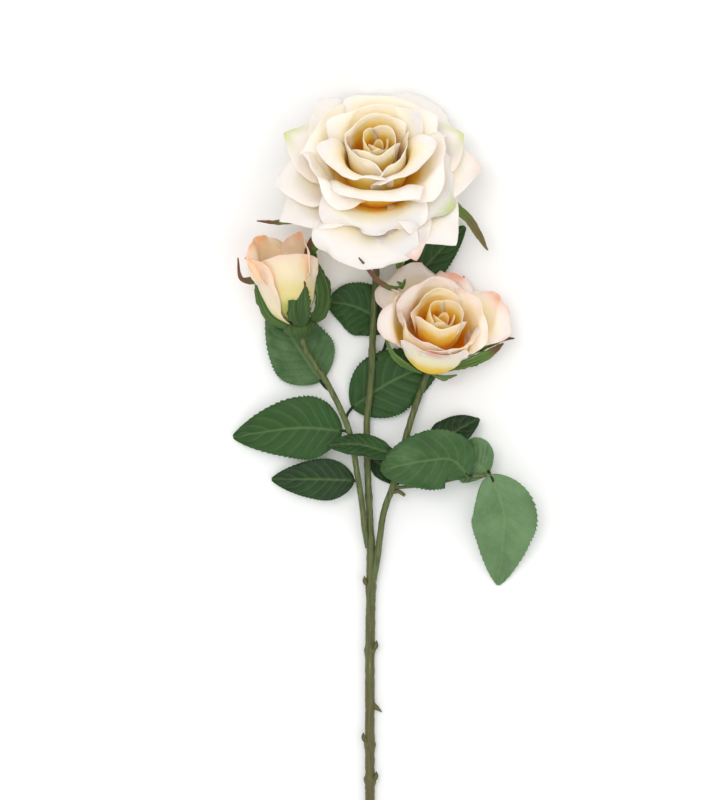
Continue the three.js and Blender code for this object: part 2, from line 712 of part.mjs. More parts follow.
// A leaflet's own stalk starts inside the stem, stalk or rachis that carries it.
const RACHIS_END = RACHIS_PATH.at(-1);
const LEAVES = {
  leaf_upper: {
    path: [[9, 108, 2], [0, 116, 2.2], [-10, 120.5, 2], [-21, 122, 1.5]],
    width: 13,
    tip: 0.6,
    stalk: [onPath(STEM_PATH, 1, 90), [7, 98, 2.6], [9.4, 107.5, 2]],
  },
  leaf_behind_bud: {
    path: [[-25, 82, 3.5], [-35, 97, 3], [-51, 121, 1.5]],
    width: 16,
    stalk: [onPath(BUD_STALK_PATH, 1, 76), [-23, 79.5, 5], [-25.4, 82.6, 3.5]],
  },
  leaf_centre: {
    path: [[-9, 69, 2], [11, 82, 2.8], [37, 93, 2]],
    width: 16,
    stalk: [onPath(BUD_STALK_PATH, 1, 62), [-11, 66, 4], [-8.4, 69.4, 2.2]],
  },
  leaf_left: {
    path: [[-14, 57, 10], [-35, 58.5, 9], [-69, 54, 3]],
    width: 15.5,
    stalk: [onPath(BUD_STALK_PATH, 1, 56), [-13, 57, 10.6], [-15, 57, 10]],
  },
  leaf_lower_left: {
    path: [[-8, 32, 8], [-25, 32.5, 7], [-49.5, 32.5, 3]],
    width: 10,
    stalk: [onPath(BUD_STALK_PATH, 1, 31), [-7, 31.7, 8.8], [-9, 32, 8]],
  },
  leaf_small: {
    path: [[12, 45, 15], [-6, 50, 18], [-20, 49.5, 15]],
    facing: [0, 0.5, 0.9],
    width: 6,
    stalk: [onPath(SIDE_STALK_PATH, 1, 37), [13.5, 42, 13.4], [11, 45.2, 15.2]],
  },
  leaf_right: {
    path: [[49, 35, 16], [41, 42.5, 19], [27, 42, 20], [5.5, 37.5, 16]],
    width: 14.5,
    widest: 0.56,
    tip: 0.6,
    stalk: [onPath(RACHIS_PATH, 0, 51), [50, 34.6, 15.2], [48, 35.8, 16.2]],
  },
  leaf_dark: {
    path: [[30, 44, 8], [41, 55, 9], [55, 63, 7]],
    facing: [-0.3, 0.3, 0.8],
    width: 9,
    stalk: [onPath(SIDE_STALK_PATH, 1, 40), [23, 40.5, 8.4], [30.6, 44.6, 8]],
  },
  leaf_right_upper: {
    path: [[60, 36.5, 11], [53, 41.5, 10.5], [44, 46, 9]],
    facing: [0, -0.25, 1],
    width: 12,
    widest: 0.6,
    tip: 0.6,
    stalk: [RACHIS_END, [60.2, 35.6, 11.8], [59.4, 37, 11]],
  },
  leaf_drooping: {
    path: [[60.5, 35, 14], [67, 17, 13.5], [67, 2, 9], [65, -21, 0.9]],
    width: 16,
    stalk: [RACHIS_END, [61.2, 33.5, 14], [62, 31.4, 14]],
  },
  leaf_under_rose: {
    path: [[12, 120, 3], [30, 142, 6], [48, 160, 5]],
    width: 9,
    stalk: [onPath(STEM_PATH, 1, 107), [7, 113, 4.6], [12.6, 120.8, 3]],
  },
  leaf_behind_stem: {
    path: [[1, 43, 2], [8, 37.5, 2], [15, 30, 1.6]],
    width: 5.5,
    stalk: [onPath(STEM_PATH, 1, 46), [-0.2, 45, 2.6], [2, 42, 2]],
  },
};

function leafSolid(leaf, extra) {
  const blade = sheetSolid(bladeSurface(leaf), 8, 4, LEAF_THICKNESS, extra);
  return blade.add(rodSolid(leaf.stalk, () => PETIOLE_RADIUS, 8, extra, 6));
}

// ---- The spray -----------------------------------------------------------------------

const spray = new THREE.Group();
const taken = [];

// Adds one piece. make(extra) gives its solid, with that much extra skin all round, and
// whatever comes within the clearance of the pieces before it is cut away.
function addPiece(name, colour, make) {
  const whole = make(0);
  let solid = whole;
  for (const neighbour of taken) solid = solid.subtract(neighbour);
  // Bodies that were held together by a single edge only come apart once remade.
  const remade = solidOf(largestBody(solid));
  spray.add(meshOf(name, largestBody(remade), colour));
  taken.push(make(CLEARANCE).add(whole));
}

function addFlower(prefix, place, profiles, kinds, petals, heart, colour) {
  const frame = flowerFrame(place);
  addPiece(`${prefix}_heart`, colour, (extra) => heartSolid(heart, place, extra));
  petals.forEach((own, i) => {
    const surface = petalSurface(placedPetal(profiles, kinds, own), frame);
    const number = String(i + 1).padStart(2, "0");
    addPiece(`${prefix}_petal_${number}`, colour, (extra) =>
      sheetSolid(surface, 6, 6, PETAL_THICKNESS, extra),
    );
  });
}

addFlower("open_rose", OPEN_ROSE, OPEN_PROFILES, OPEN_KINDS, OPEN_PETALS, OPEN_HEART, CREAM.open);
addFlower("side_rose", SIDE_ROSE, SIDE_PROFILES, SIDE_KINDS, SIDE_PETALS, SIDE_HEART, CREAM.side);
addFlower("bud", BUD, BUD_PROFILES, BUD_KINDS, BUD_PETALS, BUD_HEART, CREAM.bud);
for (const [name, place, hip, sepals] of [
  ["open_rose_calyx", OPEN_ROSE, OPEN_HIP, OPEN_SEPALS],
  ["side_rose_calyx", SIDE_ROSE, SIDE_HIP, SIDE_SEPALS],
  ["bud_calyx", BUD, BUD_HIP, BUD_SEPALS],
]) {
  addPiece(name, GREEN.sepal, (extra) => calyxSolid(place, hip, sepals, extra));
}
addPiece("stem", GREEN.stem, stemSolid);
addPiece("bud_stalk", GREEN.stem, budStalkSolid);
addPiece("side_stalk", GREEN.stem, sideStalkSolid);
addPiece("rachis", GREEN.leaf, (extra) =>
  rodSolid(RACHIS_PATH, () => RACHIS_RADIUS, 12, extra, 6),
);
for (const [name, leaf] of Object.entries(LEAVES)) {
  addPiece(name, GREEN.leaf, (extra) => leafSolid(leaf, extra));
}

// The origin goes under the middle of the whole spray, on the surface that it lies on.
const bounds = new THREE.Box3().setFromObject(spray);
const middle = bounds.getCenter(new THREE.Vector3());
for (const piece of spray.children) {
  piece.geometry.translate(-middle.x, -middle.y, -bounds.min.z);
}

export default spray;
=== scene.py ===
import math

import bpy
import numpy as np
from mathutils import Euler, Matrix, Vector, noise


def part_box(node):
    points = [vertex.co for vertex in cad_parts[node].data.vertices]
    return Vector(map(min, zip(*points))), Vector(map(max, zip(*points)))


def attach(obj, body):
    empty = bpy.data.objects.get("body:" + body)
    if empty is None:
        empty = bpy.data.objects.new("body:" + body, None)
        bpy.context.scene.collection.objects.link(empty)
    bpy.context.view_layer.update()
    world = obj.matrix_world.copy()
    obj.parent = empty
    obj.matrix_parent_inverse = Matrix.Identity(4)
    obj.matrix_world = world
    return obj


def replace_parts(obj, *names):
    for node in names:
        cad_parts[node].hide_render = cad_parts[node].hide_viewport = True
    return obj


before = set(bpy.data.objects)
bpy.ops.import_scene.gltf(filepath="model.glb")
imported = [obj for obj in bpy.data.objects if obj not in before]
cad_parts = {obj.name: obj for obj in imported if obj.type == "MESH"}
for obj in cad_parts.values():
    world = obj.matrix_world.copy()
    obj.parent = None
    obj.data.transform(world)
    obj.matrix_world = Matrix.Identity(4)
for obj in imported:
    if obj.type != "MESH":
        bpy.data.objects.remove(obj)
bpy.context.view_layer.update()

MM = 0.001

# ---- Sizes ---------------------------------------------------------------------------

STEM_LENGTH_BELOW_FORK = 174
STEM_RADIUS = 2.4
STALK_RADIUS = 1.7
BUD_STALK_RADIUS = 1.5
SIDE_STALK_RADIUS = 1.65
RACHIS_RADIUS = 0.9
TWIG_RADIUS = 0.9
STUB_RADIUS = 1.1
PETIOLE_RADIUS = 0.75
PETAL_THICKNESS = 0.45
LEAF_THICKNESS = 0.45
SEPAL_THICKNESS = 0.8

# Below this height a petal bends along the floor.
FLOOR_BEND = 1.5

# Where each flower's petals are attached, and how many degrees its axis leans from +Z
# towards +Y and then turns about +Z.
OPEN_ROSE = {"at": (3.5, 179, 24.5), "lean": 34, "turn": 0}
SIDE_ROSE = {"at": (31.5, 96, 15), "lean": 42, "turn": -14}
BUD = {"at": (-36, 113.5, 16.5), "lean": 76, "turn": 13}


# ---- Curves and surfaces -------------------------------------------------------------


def smooth(x, low, high):
    """A soft step from 0 at low to 1 at high."""
    t = np.clip((x - low) / (high - low), 0, 1)
    return t * t * (3 - 2 * t)


def stations(values, q):
    """A value that passes through evenly spaced stations on a Catmull-Rom curve."""
    values = np.asarray(values, float)
    last = len(values) - 1
    x = np.clip(q, 0, 1) * last
    i = np.minimum(x.astype(int), last - 1)
    padded = np.concatenate(
        [[2 * values[0] - values[1]], values, [2 * values[-1] - values[-2]]]
    )
    before, a, b, after = padded[i], padded[i + 1], padded[i + 2], padded[i + 3]
    f = x - i
    rise, fall = (b - before) / 2, (after - a) / 2
    return (
        a
        + rise * f
        + (3 * (b - a) - 2 * rise - fall) * f**2
        + (2 * (a - b) + rise + fall) * f**3
    )


def curve(points, t):
    """Points at t, 0 to 1, on a centripetal Catmull-Rom curve."""
    p = np.asarray(points, float)
    p = np.vstack([2 * p[0] - p[1], p, 2 * p[-1] - p[-2]])
    x = np.clip(t, 0, 1) * (len(p) - 3)
    i = np.minimum(x.astype(int), len(p) - 4)
    f = (x - i)[..., None]
    p0, p1, p2, p3 = p[i], p[i + 1], p[i + 2], p[i + 3]
    d0, d1, d2 = (
        np.maximum(np.linalg.norm(b - a, axis=-1, keepdims=True), 1e-6) ** 0.5
        for a, b in ((p0, p1), (p1, p2), (p2, p3))
    )
    m1 = d1 * ((p1 - p0) / d0 - (p2 - p0) / (d0 + d1) + (p2 - p1) / d1)
    m2 = d1 * ((p2 - p1) / d1 - (p3 - p1) / (d1 + d2) + (p3 - p2) / d2)
    return (
        p1
        + m1 * f
        + (3 * (p2 - p1) - 2 * m1 - m2) * f**2
        + (2 * (p1 - p2) + m1 + m2) * f**3
    )


def unit(v):
    return v / np.maximum(np.linalg.norm(v, axis=-1, keepdims=True), 1e-9)


def arc(curvature, start, length):
    """Where an arc gets to from a starting angle: sideways and inwards."""
    curvature = np.where(np.abs(curvature) < 1e-6, 1e-6, curvature)
    end = start + curvature * length
    return (
        (np.sin(end) - np.sin(start)) / curvature,
        (np.cos(start) - np.cos(end)) / curvature,
    )


def fractal(points, scale, seed, octaves=2):
    """Smooth noise, -1 to 1, at every point."""
    flat = points.reshape(-1, points.shape[-1]) * scale
    padded = np.zeros((len(flat), 3))
    padded[:, : flat.shape[1]] = flat
    padded += seed * 17.3
    values = [noise.fractal(Vector(p), 1.0, 2.0, octaves) for p in padded]
    return np.array(values).reshape(points.shape[:-1])


# ---- Meshes --------------------------------------------------------------------------


def grid_faces(rows, columns, flip=False):
    at = np.arange((rows + 1) * (columns + 1)).reshape(rows + 1, columns + 1)
    quads = np.stack([at[:-1, :-1], at[1:, :-1], at[1:, 1:], at[:-1, 1:]], -1)
    quads = quads.reshape(-1, 4)
    return quads[:, ::-1] if flip else quads


def shell(middle, thickness):
    """The points and faces of a closed sheet round a grid of points."""
    rows, columns = middle.shape[0] - 1, middle.shape[1] - 1
    du = np.gradient(middle, axis=0)
    dv = np.gradient(middle, axis=1)
    normal = unit(np.cross(du, dv))
    half = (thickness / 2)[..., None] * normal
    points = np.concatenate([(middle + half).reshape(-1, 3), (middle - half).reshape(-1, 3)])
    count = (rows + 1) * (columns + 1)
    at = np.arange(count).reshape(rows + 1, columns + 1)
    rim = np.concatenate([at[0, :-1], at[:-1, -1], at[-1, :0:-1], at[:0:-1, 0]])
    ahead = np.roll(rim, -1)
    sides = np.stack([rim, ahead, ahead + count, rim + count], -1)
    faces = np.concatenate(
        [grid_faces(rows, columns), grid_faces(rows, columns, True) + count, sides]
    )
    return points, faces


def make_object(name, parts, material, frame_matrix=None):
    """One object from (points, faces, attributes) parts, in millimetres."""
    points, faces, values = [], [], {}
    start = 0
    for part_points, part_faces, _ in parts:
        points.append(part_points)
        faces += [[int(k) + start for k in face] for face in part_faces]
        start += len(part_points)
    for key in sorted({key for part in parts for key in part[2]}):
        values[key] = np.concatenate(
            [np.broadcast_to(part[2].get(key, 0.0), len(part[0])) for part in parts]
        )
    points = np.concatenate(points)
    if frame_matrix is not None:
        points = points @ frame_matrix[0].T + frame_matrix[1]
        # A petal that would dip into the floor bends along it instead.
        near = np.minimum(points[:, 2], FLOOR_BEND)
        points[:, 2] += FLOOR_BEND * np.exp(near / FLOOR_BEND - 1) - near
    mesh = bpy.data.meshes.new(name)
    mesh.from_pydata(((points + SHIFT) * MM).tolist(), [], faces)
    mesh.validate()
    for key, value in values.items():
        attribute = mesh.attributes.new(key, "FLOAT", "POINT")
        attribute.data.foreach_set("value", np.asarray(value, np.float32))
    mesh.polygons.foreach_set("use_smooth", [True] * len(mesh.polygons))
    piece = bpy.data.objects.new(name, mesh)
    bpy.context.collection.objects.link(piece)
    mesh.materials.append(material)
    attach(piece, "root")
    return piece


def flower_frame(place):
    """The turn and the origin of the frame a flower's petals and hip are made in."""
    turn = Euler((-math.radians(place["lean"]), 0, math.radians(place["turn"])), "XYZ")
    return np.array(turn.to_matrix()), np.array(place["at"], float)


# ---- Materials -----------------------------------------------------------------------


def colour(code):
    """A linear colour from a hexadecimal sRGB one."""
    parts = [int(code[i : i + 2], 16) / 255 for i in (0, 2, 4)]
    linear = [c / 12.92 if c <= 0.04045 else ((c + 0.055) / 1.055) ** 2.4 for c in parts]
    return (*linear, 1)


class Shader:
    """A material's node tree, with a short way to add each kind of node."""

    def __init__(self, name, **settings):
        self.material = bpy.data.materials.new(name)
        self.material.use_nodes = True
        self.tree = self.material.node_tree
        self.tree.nodes.clear()
        output = self.tree.nodes.new("ShaderNodeOutputMaterial")
        self.bsdf = self.tree.nodes.new("ShaderNodeBsdfPrincipled")
        self.tree.links.new(self.bsdf.outputs[0], output.inputs[0])
        for key, value in settings.items():
            self.bsdf.inputs[key.replace("_", " ")].default_value = value

    def feed(self, socket, value):
        if isinstance(value, bpy.types.NodeSocket):
            self.tree.links.new(value, socket)
        else:
            socket.default_value = value

    def set(self, key, value):
        self.feed(self.bsdf.inputs[key], value)

    def attribute(self, name):
        node = self.tree.nodes.new("ShaderNodeAttribute")
        node.attribute_name = name
        return node.outputs["Fac"]

    def math(self, operation, a, b=0.0):
        node = self.tree.nodes.new("ShaderNodeMath")
        node.operation = operation
        self.feed(node.inputs[0], a)
        self.feed(node.inputs[1], b)
        return node.outputs[0]

    def ramp(self, value, stops):
        node = self.tree.nodes.new("ShaderNodeValToRGB")
        node.color_ramp.interpolation = "EASE"
        elements = node.color_ramp.elements
        while len(elements) < len(stops):
            elements.new(0.5)
        for element, (place, shade) in zip(elements, stops):
            element.position = place
            element.color = shade if len(shade) == 4 else (shade[0],) * 3 + (1,)
        self.feed(node.inputs[0], value)
        return node.outputs[0]

    def mix(self, share, a, b, blend="MIX"):
        node = self.tree.nodes.new("ShaderNodeMix")
        node.data_type = "RGBA"
        node.blend_type = blend
        self.feed(node.inputs[0], share)
        self.feed(node.inputs[6], a)
        self.feed(node.inputs[7], b)
        return node.outputs[2]

    def place(self, scale):
        """A coordinate from the sheet's own across, along and number, scaled."""
        node = self.tree.nodes.new("ShaderNodeCombineXYZ")
        for i, name in enumerate(("across", "along", "number")):
            self.feed(node.inputs[i], self.math("MULTIPLY", self.attribute(name), scale[i]))
        return node.outputs[0]

    def object_place(self):
        return self.tree.nodes.new("ShaderNodeTexCoord").outputs["Object"]

    def noise(self, place, scale, detail=3.0, roughness=0.55):
        node = self.tree.nodes.new("ShaderNodeTexNoise")
        self.feed(node.inputs["Vector"], place)
        node.inputs["Scale"].default_value = scale
        node.inputs["Detail"].default_value = detail
        node.inputs["Roughness"].default_value = roughness
        return node.outputs["Fac"]

    def cells(self, place, scale):
        """How far a place is from the nearest edge between two cells."""
        node = self.tree.nodes.new("ShaderNodeTexVoronoi")
        node.feature = "DISTANCE_TO_EDGE"
        self.feed(node.inputs["Vector"], place)
        node.inputs["Scale"].default_value = scale
        return node.outputs["Distance"]

    def bump(self, height, distance, strength):
        node = self.tree.nodes.new("ShaderNodeBump")
        node.inputs["Strength"].default_value = strength
        node.inputs["Distance"].default_value = distance
        self.feed(node.inputs["Height"], height)
        self.set("Normal", node.outputs[0])


def petal_material(name, foot, belly, body, rim, pink, green, scatter):
    s = Shader(
        name,
        Roughness=0.52,
        Specular_IOR_Level=0.3,
        Subsurface_Weight=0.45,
        Subsurface_Scale=0.0035,
        Subsurface_Radius=scatter,
        Sheen_Weight=0.08,
        Sheen_Roughness=0.4,
    )
    s.bsdf.subsurface_method = "RANDOM_WALK"
    veins = s.noise(s.place((26, 1.6, 3)), 1.0, 4.0, 0.65)
    mottle = s.noise(s.place((2.2, 2.6, 5)), 1.0, 3.0)
    drift = s.math("MULTIPLY", s.math("SUBTRACT", mottle, 0.5), 0.22)
    base = s.ramp(
        s.math("ADD", s.attribute("warm"), drift),
        [(0.02, foot), (0.22, belly), (0.44, body), (0.76, rim)],
    )
    base = s.mix(s.math("MULTIPLY", veins, 0.1), base, belly, "MULTIPLY")
    base = s.mix(s.attribute("pink"), base, pink)
    base = s.mix(s.attribute("green"), base, green)
    s.set("Base Color", base)
    s.set("Roughness", s.math("ADD", 0.42, s.math("MULTIPLY", veins, 0.2)))
    relief = s.math("ADD", s.math("MULTIPLY", veins, 0.6), s.math("MULTIPLY", mottle, 0.4))
    s.bump(relief, 0.00035, 0.5)
    return s.material


def leaf_material():
    s = Shader(
        "leaf",
        Roughness=0.5,
        Specular_IOR_Level=0.3,
        Subsurface_Weight=0.08,
        Subsurface_Scale=0.0008,
        Subsurface_Radius=(0.4, 1.0, 0.2),
        Sheen_Weight=0.04,
        Sheen_Roughness=0.5,
    )
    place = s.object_place()
    mottle = s.noise(place, 70.0, 4.0)
    fine = s.cells(place, 800.0)
    # How light each leaflet's green is: the highest values and the greyish top of the ramp are
    # partly painted sheen, not only the leaflet's own tone.
    light = s.attribute("light")
    drift = s.math("MULTIPLY", s.math("SUBTRACT", mottle, 0.5), 0.5)
    shade = s.ramp(
        s.math("ADD", light, drift),
        [(0.0, colour("102c0b")), (0.4, colour("264d18")), (1.0, colour("6f9063"))],
    )
    veins = s.attribute("vein")
    shade = s.mix(s.math("MULTIPLY", veins, 0.35), shade, colour("7f9a5f"))
    cells = s.ramp(fine, [(0.0, (0.72,)), (0.12, (1.0,))])
    shade = s.mix(0.5, shade, cells, "MULTIPLY")
    shade = s.mix(s.attribute("under"), shade, colour("7d9a72"))
    s.set("Base Color", shade)
    s.set("Roughness", s.math("ADD", 0.42, s.math("MULTIPLY", mottle, 0.25)))
    s.bump(s.math("ADD", s.math("MULTIPLY", fine, 0.8), veins), 0.0003, 0.5)
    return s.material


def sepal_material():
    s = Shader("sepal", Roughness=0.6, Specular_IOR_Level=0.3, Sheen_Weight=0.05)
    place = s.object_place()
    streaks = s.noise(s.place((7, 1.5, 3)), 1.0, 4.0)
    base = s.ramp(streaks, [(0.3, colour("2f5419")), (0.7, colour("7a9a4c"))])
    base = s.mix(s.math("MULTIPLY", s.attribute("dark"), 0.75), base, colour("16310b"))
    brown = s.mix(s.noise(place, 300.0), colour("4d2a1e"), colour("8a5440"))
    s.set("Base Color", s.mix(s.attribute("brown"), base, brown))
    s.set("Roughness", s.math("ADD", 0.5, s.math("MULTIPLY", streaks, 0.2)))
    s.bump(streaks, 0.0005, 0.6)
    return s.material


def stem_material():
    s = Shader(
        "stem",
        Roughness=0.5,
        Specular_IOR_Level=0.4,
        Subsurface_Weight=0.05,
        Subsurface_Scale=0.001,
        Subsurface_Radius=(0.8, 1.0, 0.3),
    )
    place = s.object_place()
    stretched = s.tree.nodes.new("ShaderNodeMapping")
    stretched.inputs["Scale"].default_value = (1.0, 0.06, 1.0)
    s.feed(stretched.inputs["Vector"], place)
    fibres = s.noise(stretched.outputs[0], 900.0, 5.0, 0.7)
    patches = s.noise(place, 90.0, 4.0)
    base = s.ramp(
        fibres, [(0.3, colour("323c1a")), (0.55, colour("5a6636")), (0.78, colour("9a9c68"))]
    )
    scuffed = s.math("MULTIPLY", s.ramp(patches, [(0.5, (0,)), (0.75, (1,))]), 0.4)
    base = s.mix(scuffed, base, colour("6a5434"))
    base = s.mix(s.attribute("brown"), base, colour("5b4728"))
    base = s.mix(s.attribute("light"), base, colour("b6ad7c"))
    s.set("Base Color", base)
    s.bump(s.math("ADD", fibres, s.math("MULTIPLY", patches, 0.7)), 0.0006, 0.6)
    return s.material


PETAL = {
    "open": petal_material(
        "open_petal", colour("ff9e04"), colour("ffd450"), colour("fff2d0"), colour("fdf4ea"),
        colour("f0b3a0"), colour("c3cf73"), (1.0, 0.8, 0.5),
    ),
    "side": petal_material(
        "side_petal", colour("ff9804"), colour("ffcc4a"), colour("ffedc2"), colour("feecde"),
        colour("ec8d7c"), colour("c3cf73"), (1.0, 0.7, 0.4),
    ),
    "bud": petal_material(
        "bud_petal", colour("b9b862"), colour("eed592"), colour("fbe2ba"), colour("fad8bc"),
        colour("f59c78"), colour("a9b062"), (1.0, 0.7, 0.4),
    ),
}
LEAF = leaf_material()
SEPAL = sepal_material()
STEM = stem_material()

# ---- Petals --------------------------------------------------------------------------

PETAL_GRID = (46, 44)
HEART_GRID = (36, 30)
# A cross-section is summed in this many steps from its middle to each side.
SECTION_STEPS = 24
# Where along a petal its profile ends: past 1, as a point stands out further.
PROFILE_END = 1.08
# How broad a tip's point and notch are, as shares of half a petal.
POINT_BREADTH = 0.16
NOTCH_BREADTH = 0.28

# How a petal runs from its foot to its tip, as radius and height in its flower's frame.
OPEN_PROFILES = {
    "wall": ((3, 2), (10, 9), (13, 21), (13.5, 33), (14.5, 43)),
    "back": ((4, 2), (13, 8), (17, 20), (20, 31), (24, 38)),
    "lip": ((4, 1), (12, 6), (14.5, 16), (15, 26), (18, 31), (22, 29)),
    "spread": ((4, 1), (14, 6), (22, 14), (29, 23), (36, 30)),
    "half": ((5, 0), (17, 5), (27, 12), (36, 12), (43, 6)),
    "open": ((6, -1), (20, 3), (34, 8), (44, 9), (51, 6)),
}
SIDE_PROFILES = {
    "wall": ((2.5, 2), (10, 8), (12.5, 18), (13, 30)),
    "lip": ((3.4, 1), (14, 4), (17, 12), (18, 22), (22, 31)),
    "open": ((4.4, 0), (17, 5), (26, 13), (32, 20), (38, 25)),
}
BUD_PROFILES = {
    "wall": ((3, 1), (10, 9), (13, 21), (12.5, 34), (12, 44)),
    "lip": ((4, 0), (11, 8), (14, 21), (14, 33), (19, 42)),
}


def petal_surface(petal, along, across):
    """The petal's middle surface in its flower's frame, +Z along the flower's axis."""
    side = np.abs(across)
    rim = (
        1
        - petal["shoulder"] * np.minimum(side, 1.2) ** petal["sharp"]
        - petal["skew"] * across
        + petal["point"] * np.exp(-((across / POINT_BREADTH) ** 2))
        - petal["notch"] * np.exp(-((across / NOTCH_BREADTH) ** 2))
    )
    q = along * rim
    profile = np.array(petal["profile"], float)
    r, z = (stations(profile[:, k], q / PROFILE_END) for k in (0, 1))
    dr, dz = (
        stations(profile[:, k], (q + 0.01) / PROFILE_END)
        - stations(profile[:, k], (q - 0.01) / PROFILE_END)
        for k in (0, 1)
    )
    lean = np.arctan2(dr, dz)
    broad = np.sin(np.pi / 2 * np.clip(q / 0.6, 0, 1)) ** 1.2
    half = petal["width"] * (petal["claw"] + (1 - petal["claw"]) * broad)
    cup_foot, cup_tip = petal["cup"]
    cup = cup_foot + (cup_tip - cup_foot) * smooth(q, 0, 0.9)
    fold_foot, fold_tip = petal["fold"]
    fold = fold_foot + (fold_tip - fold_foot) * np.clip((q - 0.45) / 0.5, 0, 1)
    roll = np.radians(petal["roll"]) * smooth(q, 0.2, 0.8)
    reach = side * half
    share = (np.arange(SECTION_STEPS) + 0.5) / SECTION_STEPS
    x = reach[..., None] * share
    past = np.maximum(x - (fold * half)[..., None], 0)
    turned = cup[..., None] * x - roll[..., None] * (1 - np.exp(-past / petal["tight"]))
    out = np.cos(turned).mean(-1) * reach * np.sign(across)
    inward = np.sin(turned).mean(-1) * reach
    twist = np.radians(petal["twist"]) * smooth(q, 0.1, 1)
    sideways = out * np.cos(twist) - inward * np.sin(twist)
    depth = out * np.sin(twist) + inward * np.cos(twist)
    radial = r - depth * np.cos(lean)
    azimuth = math.radians(petal["azimuth"])
    return np.stack(
        [
            radial * math.cos(azimuth) - sideways * math.sin(azimuth),
            radial * math.sin(azimuth) + sideways * math.cos(azimuth),
            z + depth * np.sin(lean),
        ],
        -1,
    )


def petal_part(petal, number, grid):
    """A thin petal with ruffles and soft folds that grow towards its rim."""
    rows, columns = grid
    s = np.linspace(0, 1, rows + 1) ** 0.85
    # The points across a petal lie closer together near its sides, where it rolls.
    quarter = np.pi / 2 * 0.9
    t = np.sin(np.linspace(-1, 1, columns + 1) * np.pi / 2 * 0.9) / math.sin(quarter)
    along, across = np.meshgrid(s, t, indexing="ij")
    middle = petal_surface(petal, along, across)
    normal = unit(np.cross(np.gradient(middle, axis=0), np.gradient(middle, axis=1)))
    side = np.abs(across)
    rim = np.maximum(smooth(along, 0.55, 1), smooth(side, 0.5, 1) * smooth(along, 0.25, 0.7))
    size = petal["width"] / 20
    broad = fractal(middle, 0.05 / size, number)
    fine = fractal(middle, 0.15 / size, number + 40)
    ruffle = petal["ruffle"] * size * (1.6 * broad + 0.8 * fine) * rim
    ruffle += 0.4 * size * broad * (1 - rim) * smooth(along, 0.1, 0.4)
    middle = middle + normal * ruffle[..., None]
    thin = PETAL_THICKNESS * (1 - 0.55 * np.maximum(along, side) ** 6)
    points, faces = shell(middle, thin)
    tip = smooth(along, 0.74, 1) * np.exp(-((across / 0.34) ** 2))
    edge = np.maximum(smooth(along, 0.9, 1), smooth(side, 0.88, 1) * smooth(along, 0.5, 0.8))
    pink = petal["pink"] * tip + petal["blush"] * edge * (0.4 + fine)

    def both(value):
        return np.tile(np.clip(value, 0, 1).ravel(), 2)

    return points, faces, {
        "along": both(along),
        "across": np.tile(across.ravel(), 2),
        "warm": both(along - petal["warm"] + 0.25 * smooth(side, 0.55, 1)),
        "pink": both(pink),
        "green": both(petal["green"] * tip),
        "number": float(number),
    }


# What describes a petal, in millimetres and degrees:
#   profile           radius and height from its foot to its tip, moved by its layer
#   azimuth           where it stands round the flower's axis
#   layer             how far out and down it is moved, in half millimetres
#   width, claw       half its breadth, and the share of it that is left at its foot
#   cup               how tightly it curves across, at its foot and at its tip
#   fold              how far across it starts to roll back, at its foot and at its tip
#   roll, tight       how far its sides roll back, and over what length
#   twist             how far its tip is turned
#   shoulder, sharp   how much shorter it is at its sides, and how suddenly
#   skew              how much shorter one side is, and longer the other
#   point, notch      how far the middle of its tip stands out or is cut in
#   ruffle            how much its rim waves
#   warm              how far up it the colours of its foot reach
#   pink, green       how much of each tint its tip has, and blush is pink along its rim
PETAL_DEFAULTS = {
    "cup": (0.05, 0.02), "fold": (0.75, 0.1), "roll": 110, "tight": 4.5, "twist": 4,
    "shoulder": 0.34, "sharp": 2.4, "point": 0.02, "notch": 0.0, "skew": 0.0, "claw": 0.22,
    "ruffle": 1.0, "pink": 0.0, "blush": 0.0, "green": 0.0, "warm": 0.0, "layer": 0.0,
}
OPEN_KINDS = {
    "wall": {
        "width": 17, "cup": (0.09, 0.065), "fold": (0.85, 0.6), "roll": 60, "tight": 3,
        "warm": 0.48, "shoulder": 0.14,
    },
    "back": {
        "width": 22, "cup": (0.07, 0.04), "fold": (0.8, 0.4), "roll": 90, "tight": 4,
        "warm": 0.36, "shoulder": 0.2,
    },
    "lip": {
        "width": 19, "cup": (0.08, 0.055), "fold": (0.8, 0.5), "roll": 80, "tight": 4,
        "warm": 0.3, "shoulder": 0.16,
    },
    "spread": {
        "width": 22, "cup": (0.06, 0.03), "fold": (0.72, 0.25), "roll": 120, "warm": 0.18,
        "shoulder": 0.3, "sharp": 2.0,
    },
    "half": {"width": 23, "cup": (0.05, 0.014), "warm": 0.08, "sharp": 1.8, "shoulder": 0.38},
    "open": {
        "width": 25, "cup": (0.04, 0.004), "fold": (0.75, 0.35), "roll": 90, "sharp": 1.15,
        "shoulder": 0.62, "point": 0.03,
    },
}
SIDE_KINDS = {
    "wall": {
        "width": 13, "cup": (0.12, 0.09), "fold": (0.85, 0.6), "roll": 60, "tight": 3,
        "warm": 0.48, "shoulder": 0.18,
    },
    "lip": {
        "width": 19, "cup": (0.075, 0.05), "fold": (0.8, 0.35), "roll": 90, "tight": 3.5,
        "warm": 0.25, "shoulder": 0.26, "blush": 0.35,
    },
    "open": {
        "width": 22, "cup": (0.06, 0.03), "fold": (0.7, 0.15), "roll": 120, "tight": 3.5,
        "warm": 0.12, "shoulder": 0.34, "sharp": 2.0, "blush": 0.5,
    },
}
BUD_KINDS = {
    "wall": {
        "width": 20, "cup": (0.09, 0.062), "fold": (0.85, 0.6), "roll": 60, "tight": 3,
        "warm": 0.1, "shoulder": 0.2, "blush": 0.5,
    },
    "lip": {
        "width": 19, "cup": (0.08, 0.045), "fold": (0.8, 0.3), "roll": 110, "tight": 3,
        "shoulder": 0.26, "blush": 0.8,
    },
}


